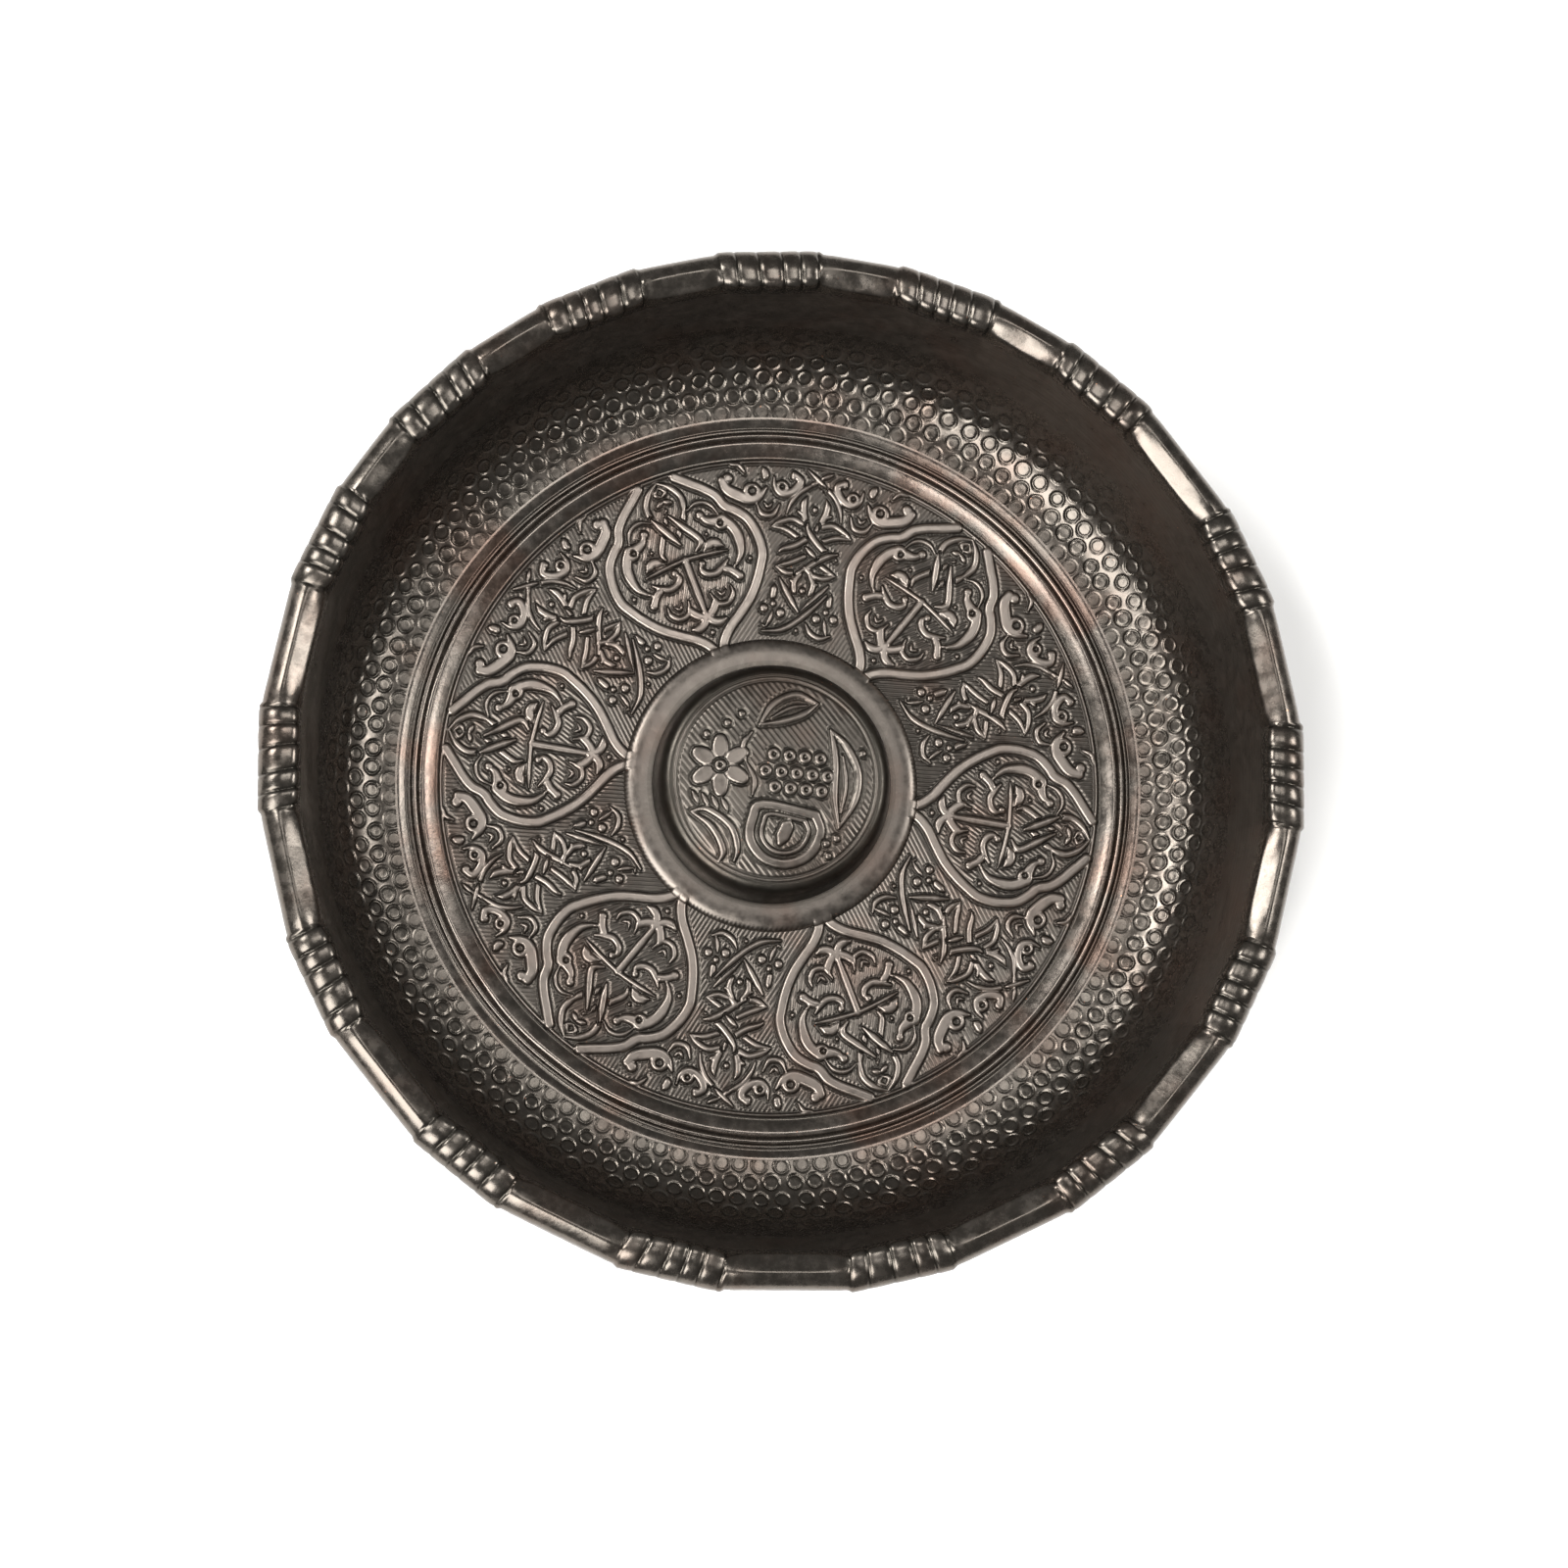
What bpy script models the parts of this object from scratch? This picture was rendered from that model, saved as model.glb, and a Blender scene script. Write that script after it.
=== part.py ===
"""A shallow copper wash bowl: one pressed sheet with a raised centre boss, and the wire in its rolled rim.

The sheet runs from the crown of the boss, down its steep side, across the collar and the
flat floor, over two ring beads, up the belly and the wall, and curls outward over the wire.
Its underside lies on Z = 0 and +Z points out of the bowl. Run it with
blender --background --python part.py, or from Blender's text editor.
"""

import math

import bmesh
import bpy
from mathutils import Vector, geometry

MM = 0.001

# Driving dimensions. Radii are measured from the bowl's axis, to the middle of the sheet.
RIM_RADIUS = 100 * MM  # to the outside of the rolled edge
HEIGHT = 34 * MM
SHEET = 0.8 * MM
ROLL_DIAMETER = 7.3 * MM
WIRE_DIAMETER = 3.6 * MM

BOSS_CROWN = 11.4 * MM
BOSS_EDGE_RADIUS = 20.6 * MM
BOSS_EDGE_HEIGHT = 9.2 * MM
BOSS_FOOT_RADIUS = 23.2 * MM
COLLAR_HEIGHT = 1.7 * MM
COLLAR_RADIUS = 28.2 * MM

FLOOR_RADIUS = 65.6 * MM
BEAD_WIDTH = 3.1 * MM
BEAD_HEIGHT = 0.9 * MM
BEAD_GAP = 0.7 * MM
BELLY_RADIUS = 73.8 * MM
BELLY_LIFT = 0.6 * MM  # the belly starts this much above the floor
WALL_SLOPE = math.radians(75)
WALL_FOOT_HEIGHT = 16 * MM  # where the belly's curve becomes the straight wall
ROLL_END = math.radians(-142)  # where the curl stops, short of the wall

# The rim is crimped by hand: ten wide steps round the bowl, then five narrow ones. It is bent
# a little at both ends of each crimp, so its outline is a polygon with two sides to a crimp.
CRIMP_START = math.radians(50.6)
CRIMP_STEPS = [-math.radians(25.6)] * 10 + [-math.radians(20.8)] * 5
CRIMP_WIDTH = math.radians(11.6)
POLYGON_FROM = 20 * MM  # the wall starts to follow the rim's outline at this height

ROLL_SEGMENTS = 11
WIRE_SIDES = 8

COPPER = ("dark_copper", (0.055, 0.043, 0.036), 0.38, 1.0)
IRON = ("iron_wire", (0.09, 0.085, 0.08), 0.6, 1.0)

roll_radius = (ROLL_DIAMETER - SHEET) / 2
roll_centre = Vector((RIM_RADIUS - ROLL_DIAMETER / 2, HEIGHT - ROLL_DIAMETER / 2))


def clear_scene():
    for obj in list(bpy.data.objects):
        bpy.data.objects.remove(obj)


def make_material(name, colour, roughness, metallic):
    material = bpy.data.materials.new(name)
    material.use_nodes = True
    shader = material.node_tree.nodes["Principled BSDF"]
    shader.inputs["Base Color"].default_value = (*colour, 1)
    shader.inputs["Roughness"].default_value = roughness
    shader.inputs["Metallic"].default_value = metallic
    return material


def arc(centre, radius, start, end, segments):
    """Points on a circle in the section plane, both ends included."""
    return [
        centre + radius * Vector((math.cos(a), math.sin(a)))
        for a in (start + (end - start) * i / segments for i in range(segments + 1))
    ]


def bead(inner_radius, base):
    """A half-sine ring bead that starts and ends at the height of the floor."""
    return [
        Vector((inner_radius + BEAD_WIDTH * t, base + BEAD_HEIGHT * math.sin(math.pi * t)))
        for t in (0, 0.25, 0.5, 0.75, 1)
    ]


def wall_radius(height):
    """Where the straight part of the wall is at a height, so that it runs into the roll."""
    join = roll_centre + roll_radius * Vector((-math.sin(WALL_SLOPE), math.cos(WALL_SLOPE)))
    return join.x - (join.y - height) / math.tan(WALL_SLOPE)


def sheet_line():
    """The middle of the sheet in section, from the crown of the boss to the end of the curl."""
    floor = SHEET / 2
    rise = BOSS_CROWN - BOSS_EDGE_HEIGHT
    dome_radius = (BOSS_EDGE_RADIUS**2 + rise**2) / (2 * rise)
    half_angle = math.asin(BOSS_EDGE_RADIUS / dome_radius)
    upright = math.pi / 2
    line = arc(Vector((0, BOSS_CROWN - dome_radius)), dome_radius, upright, upright - half_angle, 4)
    line += [
        Vector((BOSS_EDGE_RADIUS + 0.9 * MM, BOSS_EDGE_HEIGHT - 0.8 * MM)),
        Vector((BOSS_FOOT_RADIUS - 0.5 * MM, COLLAR_HEIGHT + 2.2 * MM)),
        Vector((BOSS_FOOT_RADIUS, COLLAR_HEIGHT)),
        Vector((BOSS_FOOT_RADIUS + 2.2 * MM, COLLAR_HEIGHT + 0.1 * MM)),
        Vector((COLLAR_RADIUS - 1.1 * MM, COLLAR_HEIGHT - 0.4 * MM)),
        Vector((COLLAR_RADIUS, floor)),
        Vector(((COLLAR_RADIUS + FLOOR_RADIUS) / 2, floor)),
    ]
    line += bead(FLOOR_RADIUS, floor)
    line += bead(FLOOR_RADIUS + BEAD_WIDTH + BEAD_GAP, floor)[:-1]
    wall_foot = Vector((wall_radius(WALL_FOOT_HEIGHT), WALL_FOOT_HEIGHT))
    down_the_wall = Vector((-math.cos(WALL_SLOPE), -math.sin(WALL_SLOPE)))
    belly_start = Vector((BELLY_RADIUS, floor + BELLY_LIFT))
    line += geometry.interpolate_bezier(
        belly_start,
        belly_start + Vector((8.5, 0.9)) * MM,
        wall_foot + 9.8 * MM * down_the_wall,
        wall_foot,
        6,
    )
    line.append(Vector((wall_radius(POLYGON_FROM), POLYGON_FROM)))
    line.append(Vector((wall_radius(HEIGHT - ROLL_DIAMETER), HEIGHT - ROLL_DIAMETER)))
    line += arc(roll_centre, roll_radius, upright + WALL_SLOPE, ROLL_END, ROLL_SEGMENTS)
    return line


def offset_line(line, distance):
    """The line moved sideways, to the left of its direction, with mitred corners."""
    moved = []
    for i, point in enumerate(line):
        before = (point - line[i - 1]).normalized() if i else None
        after = (line[i + 1] - point).normalized() if i + 1 < len(line) else before
        before = before or after
        left = Vector((-(before.y + after.y), before.x + after.x)).normalized()
        half_turn = left.dot(Vector((-before.y, before.x)))
        moved.append(point + left * (distance / half_turn))
    moved[0].x = 0
    return moved


def rim_stations():
    """Where the section is placed round the bowl, as an angle and how far the rim falls in there.

    The corners of the rim's outline lie on its full radius, and the middles of its straight
    sides fall short of it: one side along each crimp and one along the span to the next.
    """
    stations = []
    crimp = CRIMP_START
    for step in CRIMP_STEPS:
        end = crimp - CRIMP_WIDTH / 2
        span = abs(step) - CRIMP_WIDTH
        stations += [
            (crimp + CRIMP_WIDTH / 2, 0),
            (crimp, RIM_RADIUS * (1 - math.cos(CRIMP_WIDTH / 2))),
            (end, 0),
            (end - span / 2, RIM_RADIUS * (1 - math.cos(span / 2))),
        ]
        crimp += step
    return stations[::-1]


def ring_points(outline, angle, fall):
    """The section's points at one angle, with the rim drawn in to its outline."""
    for point in outline:
        reach = (point.y - POLYGON_FROM) / (HEIGHT - ROLL_DIAMETER / 2 - POLYGON_FROM)
        radius = point.x - fall * min(max(reach, 0), 1)
        yield Vector((radius * math.cos(angle), radius * math.sin(angle), point.y))


def revolve(name, outline, closed, material):
    """An object turned from a section outline: a closed loop, or a line between two poles."""
    mesh_builder = bmesh.new()
    poles = [] if closed else [mesh_builder.verts.new((0, 0, outline[i].y)) for i in (0, -1)]
    section = outline if closed else outline[1:-1]
    rings = [
        [mesh_builder.verts.new(point) for point in ring_points(section, *station)]
        for station in rim_stations()
    ]
    for ring, following in zip(rings, rings[1:] + rings[:1]):
        for j in range(len(section) if closed else len(section) - 1):
            k = (j + 1) % len(section)
            mesh_builder.faces.new((ring[j], ring[k], following[k], following[j]))
        if poles:
            mesh_builder.faces.new((poles[0], ring[0], following[0]))
            mesh_builder.faces.new((poles[1], following[-1], ring[-1]))
    bmesh.ops.recalc_face_normals(mesh_builder, faces=mesh_builder.faces)
    mesh = bpy.data.meshes.new(name)
    mesh_builder.to_mesh(mesh)
    mesh_builder.free()
    mesh.materials.append(material)
    mesh.shade_smooth()
    mesh.set_sharp_from_angle(angle=math.radians(40))
    obj = bpy.data.objects.new(name, mesh)
    bpy.context.scene.collection.objects.link(obj)
    return obj


def make_bowl():
    """The whole copper sheet: boss, collar, floor, beads, belly, wall and rolled rim."""
    middle = sheet_line()
    upper = offset_line(middle, SHEET / 2)
    lower = offset_line(middle, -SHEET / 2)
    return revolve("copper_bowl", upper + lower[::-1], False, make_material(*COPPER))


def make_rim_wire():
    """The iron wire that the edge is rolled round."""
    turn = math.tau / WIRE_SIDES
    outline = arc(roll_centre, WIRE_DIAMETER / 2, 0, math.tau - turn, WIRE_SIDES - 1)
    return revolve("rim_wire", outline, True, make_material(*IRON))


clear_scene()
make_bowl()
make_rim_wire()
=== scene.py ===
"""The finished look of a dark copper wash bowl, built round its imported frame.

The bowl is one pressed sheet. It is made here as strips of that sheet that meet edge to edge:
the boss, six floor panels, the beads, the belly, the wall and the rolled rim. Lengths inside
the shape functions are in millimetres, and meshes are written in metres.
"""

import math

import bpy
import numpy as np
from bpy.props import FloatProperty, FloatVectorProperty, IntProperty, PointerProperty
from mathutils import Matrix, Vector


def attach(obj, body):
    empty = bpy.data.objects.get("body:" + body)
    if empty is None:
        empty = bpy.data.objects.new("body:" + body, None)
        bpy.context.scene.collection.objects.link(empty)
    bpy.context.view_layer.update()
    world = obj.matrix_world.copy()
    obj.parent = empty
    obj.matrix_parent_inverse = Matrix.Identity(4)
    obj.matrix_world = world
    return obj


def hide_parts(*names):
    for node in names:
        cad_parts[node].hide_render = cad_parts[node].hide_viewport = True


bl_info = {
    "name": "Dark Copper Wash Bowl",
    "version": (1, 0, 0),
    "blender": (4, 5, 0),
    "location": "View3D > Sidebar > Bowl",
    "description": "Builds a stamped and ring-punched copper bowl with a crimped rim",
    "category": "Object",
}

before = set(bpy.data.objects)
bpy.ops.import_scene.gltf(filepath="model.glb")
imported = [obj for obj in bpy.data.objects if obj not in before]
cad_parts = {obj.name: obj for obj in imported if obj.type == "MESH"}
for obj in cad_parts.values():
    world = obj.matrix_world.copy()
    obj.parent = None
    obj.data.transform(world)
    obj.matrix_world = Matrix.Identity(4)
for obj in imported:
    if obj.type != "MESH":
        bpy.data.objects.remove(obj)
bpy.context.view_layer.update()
MM = 0.001

# The sheet in section, in millimetres: radii from the axis to the middle of the sheet, and heights.
SHEET = 0.8
RIM_RADIUS = 100.0
HEIGHT = 34.0
ROLL_DIAMETER = 7.3
GROUND = SHEET / 2  # the middle of the sheet where the floor is flat
BOSS_CROWN, BOSS_EDGE_HEIGHT, BOSS_EDGE_RADIUS = 11.4, 9.2, 20.6
BOSS_FOOT_RADIUS, COLLAR_HEIGHT, COLLAR_RADIUS = 23.2, 1.7, 28.2
PANEL_START = 24.6  # the floor panels begin on the collar, where nothing is stamped
SHOULDER_START = 25.4  # where the collar's level top begins to fall
BORDER_RADIUS = 64.9
FLOOR_RADIUS, BELLY_RADIUS, BELLY_MIDDLE = 65.6, 73.8, 80.0
BEAD_WIDTH, BEAD_HEIGHT = 3.1, 0.9
BELLY_LIFT = 0.6
WALL_SLOPE = math.radians(75)
WALL_FOOT = 16.0
WALL_TOP = 1.7  # how far below the roll the wall strip ends
ROLL_END = math.radians(-142)
UPRIGHT = math.pi / 2
POLYGON_FROM = 20.0  # the height from which the wall follows the rim's many-sided outline

# How far apart the points of each strip lie, in millimetres: along its section, and round the bowl.
BOSS_GRID, BEAD_GRID, BELLY_GRID = (0.23, 0.22), (0.14, 0.6), (0.25, 0.25)
WALL_GRID, RIM_GRID = (0.45, 0.55), (0.34, 0.25)
COARSE = 4  # one point below for this many above, each way

# The crimps go round clockwise seen from above: ten wide steps, then five narrow ones.
CRIMP_START = math.radians(50.6)
CRIMP_STEPS = [-math.radians(25.6)] * 10 + [-math.radians(20.8)] * 5
CRIMP_WIDTH = math.radians(11.6)
PINCH_DEPTH = 0.3  # how far the roll is pinched in at a crimp's two ends

HEART_TURN = math.radians(111)  # the first heart's axis, anticlockwise from +X
SECTORS = 6
MOAT = 0.28  # how far the ground drops beside a raised stroke

# How raised plain sheet counts, from 0 in a hollow to 1 on raised work: raised work is worn lighter, and
# the lowest places take painted shade.
PLAIN_FACE, PLAIN_BACK = 0.5, 0.45
PUNCH_ROWS = 6


def linear(code):
    """An sRGB hex colour as three linear values."""
    channels = [int(code[k : k + 2], 16) / 255 for k in (1, 3, 5)]
    return tuple(c / 12.92 if c <= 0.04045 else ((c + 0.055) / 1.055) ** 2.4 for c in channels)


# ---------------------------------------------------------------- sizes and colours


def size_property(name, description, default):
    """A length, with its default in millimetres."""
    return FloatProperty(
        name=name, description=description, default=default * MM, unit="LENGTH", precision=5
    )


def colour_property(name, description, code):
    """A colour, with its default as an sRGB hex code."""
    return FloatVectorProperty(
        name=name, description=description, subtype="COLOR", size=3, default=linear(code), min=0, max=1
    )


class BowlSizes(bpy.types.PropertyGroup):
    detail: size_property("Detail", "Spacing of the stamped surface's points", 0.21)
    relief: size_property("Relief", "How far the ornament stands above its ground", 0.5)
    hatch_pitch: size_property("Hatch pitch", "Spacing of the fine lines on the floor's ground", 0.8)
    hatch_depth: size_property("Hatch depth", "Depth of the fine lines on the ground", 0.15)
    boss_pitch: size_property("Boss hatch pitch", "Spacing of the fine lines on the boss", 1.0)
    punch_radius: size_property("Punch radius", "Radius of a ring punch's groove", 1.42)
    punch_depth: size_property("Punch depth", "Depth of a ring punch's groove", 0.28)
    row_gap: size_property("Row gap", "Spacing of the rows of ring punches", 3.6)
    punches: IntProperty(name="Punches", description="Ring punches in one row of the belly", default=118)
    lobes: IntProperty(name="Lobes", description="Flutes pressed into the rim at each crimp", default=5)
    flute_depth: size_property("Flute depth", "Depth of the creases between the flutes", 0.52)
    camera_distance: FloatProperty(
        name="Camera distance", description="From the lens to the rim's middle", default=0.8, unit="LENGTH"
    )


class BowlColours(bpy.types.PropertyGroup):
    patina: colour_property("Patina", "Dark oxide in the hollows and on the wall", "#4b4641")
    worn: colour_property("Worn", "Raised work rubbed lighter", "#766e67")
    oxide: colour_property("Red oxide", "Brown-red bloom by the beads", "#5f3f31")
    bare: colour_property("Bare copper", "Chips where the copper shows", "#c8825e")
    iron: colour_property("Iron", "The wire in the rim", "#6b6762")
    table: colour_property("Table", "The pale floor", "#f4f3f1")


def sizes():
    return bpy.context.scene.bowl_sizes


def colours():
    return bpy.context.scene.bowl_colours


# ---------------------------------------------------------------- the sheet in section


def arc(centre, radius, start, end, segments):
    """Points along part of a circle, from one angle to another."""
    angles = np.linspace(start, end, segments + 1)
    return np.stack([centre[0] + radius * np.cos(angles), centre[1] + radius * np.sin(angles)], axis=1)


def bezier(start, start_handle, end_handle, end, segments):
    """Points along a curve from its start to its end, drawn towards its two handles."""
    t = np.linspace(0, 1, segments + 1)[:, None]
    weights = ((1 - t) ** 3, 3 * t * (1 - t) ** 2, 3 * t**2 * (1 - t), t**3)
    return sum(w * np.array(p, float) for w, p in zip(weights, (start, start_handle, end_handle, end)))


def roll_centre():
    return np.array([RIM_RADIUS - ROLL_DIAMETER / 2, HEIGHT - ROLL_DIAMETER / 2])


def roll_radius():
    return (ROLL_DIAMETER - SHEET) / 2


def roll_join():
    """Where the straight wall runs into the roll."""
    return roll_centre() + roll_radius() * np.array([-math.sin(WALL_SLOPE), math.cos(WALL_SLOPE)])


def wall_direction():
    return np.array([math.cos(WALL_SLOPE), math.sin(WALL_SLOPE)])


def wall_foot():
    join = roll_join()
    return join - wall_direction() * (join[1] - WALL_FOOT) / math.sin(WALL_SLOPE)


def evenly(line, spacing):
    """The line again, its points about the given spacing apart and a whole number of coarse steps."""
    along = np.concatenate([[0], np.cumsum(np.hypot(*np.diff(line, axis=0).T))])
    count = COARSE * max(1, math.ceil(along[-1] / spacing / COARSE))
    wanted = np.linspace(0, along[-1], count + 1)
    return np.stack([np.interp(wanted, along, line[:, k]) for k in (0, 1)], axis=1)


def boss_section(spacing):
    """Over the low dome, down the boss's round side and onto the collar."""
    rise = BOSS_CROWN - BOSS_EDGE_HEIGHT
    dome = (BOSS_EDGE_RADIUS**2 + rise**2) / (2 * rise)
    top = arc((0, BOSS_CROWN - dome), dome, UPRIGHT, UPRIGHT - math.asin(BOSS_EDGE_RADIUS / dome), 120)
    edge, foot = (BOSS_EDGE_RADIUS, BOSS_EDGE_HEIGHT), (BOSS_FOOT_RADIUS, COLLAR_HEIGHT)
    side = bezier(edge, (22.4, 8.8), (22.8, 5.6), foot, 60)
    top[0, 0] = 0
    return evenly(np.vstack([top, side[1:], [[PANEL_START, COLLAR_HEIGHT]]]), spacing)


def floor_section(spacing):
    """From the collar's level top, down its soft shoulder and out over the flat floor."""
    radius = np.linspace(PANEL_START, FLOOR_RADIUS, 600)
    fall = np.clip((radius - SHOULDER_START) / (COLLAR_RADIUS + 0.6 - SHOULDER_START), 0, 1)
    height = GROUND + (COLLAR_HEIGHT - GROUND) * np.sqrt(np.clip(1 - fall**2.4, 0, 1))
    return evenly(np.stack([radius, height], axis=1), spacing)


def bead_section(spacing):
    """A ramp up to a round bead, a thin crest beyond it, a fine groove, and a soft step up to the belly."""
    ramp = [(0, 0), (0.4, 0.04), (1.5, 0.42), (2.6, 0.84), (3.0, BEAD_HEIGHT)]
    crest = [(3.4, 0.66), (3.8, 0.24), (4.1, 0.22), (4.5, 0.6), (4.9, 0.26)]
    groove = [(5.3, 0.1), (5.6, 0.16), (5.9, 0.04), (6.3, 0.06)]
    climb = [(7.0, 0.3), (7.7, 0.55), (BELLY_RADIUS - FLOOR_RADIUS, BELLY_LIFT)]
    return evenly(curve_through(ramp + crest + groove + climb, 16) + (FLOOR_RADIUS, GROUND), spacing)


def belly_ends():
    """The belly's curve in section: its start, its two handles and its end."""
    start = np.array([BELLY_RADIUS, GROUND + BELLY_LIFT])
    foot = wall_foot()
    return start, start + (8.5, 0.9), foot - 9.8 * wall_direction(), foot


def belly_section(spacing):
    return evenly(bezier(*belly_ends(), 200), spacing)


def wall_section(spacing):
    return evenly(np.array([wall_foot(), roll_join() - WALL_TOP * wall_direction()]), spacing)


def roll_section(spacing):
    """From the top of the wall round the rolled edge to where the curl ends."""
    turn = arc(roll_centre(), roll_radius(), UPRIGHT + WALL_SLOPE, ROLL_END, 160)
    return evenly(np.vstack([[roll_join() - WALL_TOP * wall_direction()], turn]), spacing)


def across_section(line):
    """Unit vectors square to the line, towards the bowl's inner face."""
    along = np.gradient(line, axis=0)
    return np.stack([-along[:, 1], along[:, 0]], axis=1) / np.hypot(*along.T)[:, None]


def length_along(line):
    return np.concatenate([[0], np.cumsum(np.hypot(*np.diff(line, axis=0).T))])


def crimp_angles():
    return (CRIMP_START + np.concatenate([[0], np.cumsum(CRIMP_STEPS[:-1])])) % math.tau


def rim_fall(angles):
    """How far the rim falls inside its full radius, in millimetres, where its outline runs straight."""
    turned = np.asarray(angles) % math.tau
    half = CRIMP_WIDTH / 2
    corners = np.sort(np.concatenate([crimp_angles() - half, crimp_angles() + half]) % math.tau)
    corners = np.concatenate([[corners[-1] - math.tau], corners, [corners[0] + math.tau]])
    place = np.searchsorted(corners, turned, side="right")
    before, after = corners[place - 1], corners[place]
    middle, half = (before + after) / 2, (after - before) / 2
    return RIM_RADIUS * (1 - np.cos(half) / np.cos(turned - middle))


# ---------------------------------------------------------------- strips of sheet


def ring_angles(count):
    """Columns all the way round, with one more at each end for the normals."""
    count = COARSE * math.ceil(count / COARSE)
    return np.arange(-1, count + 1) * math.tau / count


def span_angles(start, end, count):
    """Columns over part of the way round, with one more at each end for the normals."""
    count = COARSE * math.ceil(count / COARSE)
    return start + np.arange(-1, count + 2) * (end - start) / count


def strip_points(line, angles, lift):
    """One face of the sheet, lifted off its middle: rows go outward and columns anticlockwise."""
    across = across_section(line)
    reach = np.clip((line[:, 1] - POLYGON_FROM) / (HEIGHT - ROLL_DIAMETER / 2 - POLYGON_FROM), 0, 1)
    radius = line[:, :1] + across[:, :1] * lift - reach[:, None] * rim_fall(angles)[None, :]
    height = np.broadcast_to(line[:, 1:] + across[:, 1:] * lift, radius.shape)
    return np.stack([radius * np.cos(angles), radius * np.sin(angles), height], axis=2)


def grid_normals(points):
    """Each point's unit normal on the smooth surface through the grid."""
    normal = np.cross(np.gradient(points, axis=0), np.gradient(points, axis=1))
    length = np.linalg.norm(normal, axis=2, keepdims=True)
    return np.where(length > 1e-9, normal / np.maximum(length, 1e-9), (0, 0, 1))


def softened(values, passes=6):
    """Values smoothed over their neighbours, as the back of a pressed sheet is."""
    for _ in range(passes):
        deep = np.pad(values, ((1, 1), (0, 0)), mode="edge")
        values = (deep[:-2] + deep[1:-1] * 2 + deep[2:]) / 4
        wide = np.pad(values, ((0, 0), (1, 1)), mode="edge")
        values = (wide[:, :-2] + wide[:, 1:-1] * 2 + wide[:, 2:]) / 4
    return values


def grid_quads(rows, columns, start=0, closed=False, flip=False):
    """Four-sided faces between a grid's points, whose numbers begin at start."""
    index = start + np.arange(rows * columns).reshape(rows, columns)
    if closed:
        index = np.concatenate([index, index[:, :1]], axis=1)
    corners = (index[:-1, :-1], index[1:, :-1], index[1:, 1:], index[:-1, 1:])
    quads = np.stack(corners, axis=2).reshape(-1, 4)
    return quads[:, ::-1] if flip else quads


def edge_faces(rows, columns, start, closed, has_pole):
    """The strip's edges, each face one coarse step below and its fine points above."""
    wide = columns // COARSE if closed else (columns - 1) // COARSE + 1
    deep = (rows - 1) // COARSE

    def upper(i, j):
        return i * columns + j % columns

    def lower(a, b):
        return start + a * wide + b % wide

    faces = []
    for b in range(wide if closed else wide - 1):
        steps = range(b * COARSE, (b + 1) * COARSE + 1)
        faces.append([lower(deep, b), lower(deep, b + 1), *[upper(rows - 1, j) for j in reversed(steps)]])
        if not has_pole:
            faces.append([*[upper(0, j) for j in steps], lower(0, b + 1), lower(0, b)])
    for a in range(0 if closed else deep):
        steps = range(a * COARSE, (a + 1) * COARSE + 1)
        faces.append([lower(a, 0), lower(a + 1, 0), *[upper(i, 0) for i in reversed(steps)]])
        faces.append([*[upper(i, columns - 1) for i in steps], lower(a + 1, wide - 1), lower(a, wide - 1)])
    return faces


def write_mesh(name, points, quads, others, normals):
    """A mesh from points in millimetres, with exact normals on its four-sided faces."""
    mesh = bpy.data.meshes.new(name)
    corners = np.concatenate([quads.ravel(), [v for face in others for v in face]]).astype(np.int32)
    counts = np.concatenate([np.full(len(quads), 4), [len(face) for face in others]]).astype(np.int32)
    mesh.vertices.add(len(points))
    mesh.vertices.foreach_set("co", (points * MM).astype(np.float32).ravel())
    mesh.loops.add(len(corners))
    mesh.loops.foreach_set("vertex_index", corners)
    mesh.polygons.add(len(counts))
    mesh.polygons.foreach_set("loop_start", np.concatenate([[0], np.cumsum(counts)[:-1]]).astype(np.int32))
    mesh.update(calc_edges=True)
    corner_normals = normals[corners]
    corner_normals[quads.size :] = 0
    mesh.normals_split_custom_set(corner_normals)
    return mesh


def sheet_mesh(name, line, angles, closed, lift, raised, upper=None, turn=0.0):
    """A strip of the sheet as a closed body: a fine upper face, a coarser lower face, and edges."""
    if upper is None:
        upper = strip_points(line, angles, lift + SHEET / 2)
    lower = strip_points(line, angles, softened(lift) * 0.7 - SHEET / 2)
    lower[:, :, 2] = np.maximum(lower[:, :, 2], 0)
    upper_normals, lower_normals = grid_normals(upper)[:, 1:-1], -grid_normals(lower)
    upper, raised = upper[:, 1:-1], raised[:, 1:-1]
    picked = np.s_[::COARSE, 1:-1:COARSE]
    lower, lower_normals = lower[picked], lower_normals[picked]
    rows, columns = upper.shape[:2]
    start = rows * columns
    has_pole = line[0, 0] < 1e-9
    below = grid_quads(*lower.shape[:2], start, closed, flip=True)
    quads = np.vstack([grid_quads(rows, columns, 0, closed), below])
    others = edge_faces(rows, columns, start, closed, has_pole)
    points = np.vstack([upper.reshape(-1, 3), lower.reshape(-1, 3)])
    normals = np.vstack([upper_normals.reshape(-1, 3), lower_normals.reshape(-1, 3)])
    values = np.concatenate([raised.ravel(), np.full(len(points) - start, PLAIN_BACK)])
    if has_pole:
        points, quads, others, normals, values = with_poles(
            points, quads, others, normals, values, columns, start
        )
    if turn:
        spin = np.array(Matrix.Rotation(turn, 3, "Z"))
        points, normals = points @ spin.T, normals @ spin.T
    mesh = write_mesh(name, points, quads, others, normals)
    attribute = mesh.attributes.new("raised", "FLOAT", "POINT")
    attribute.data.foreach_set("value", values.astype(np.float32))
    return mesh


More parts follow.
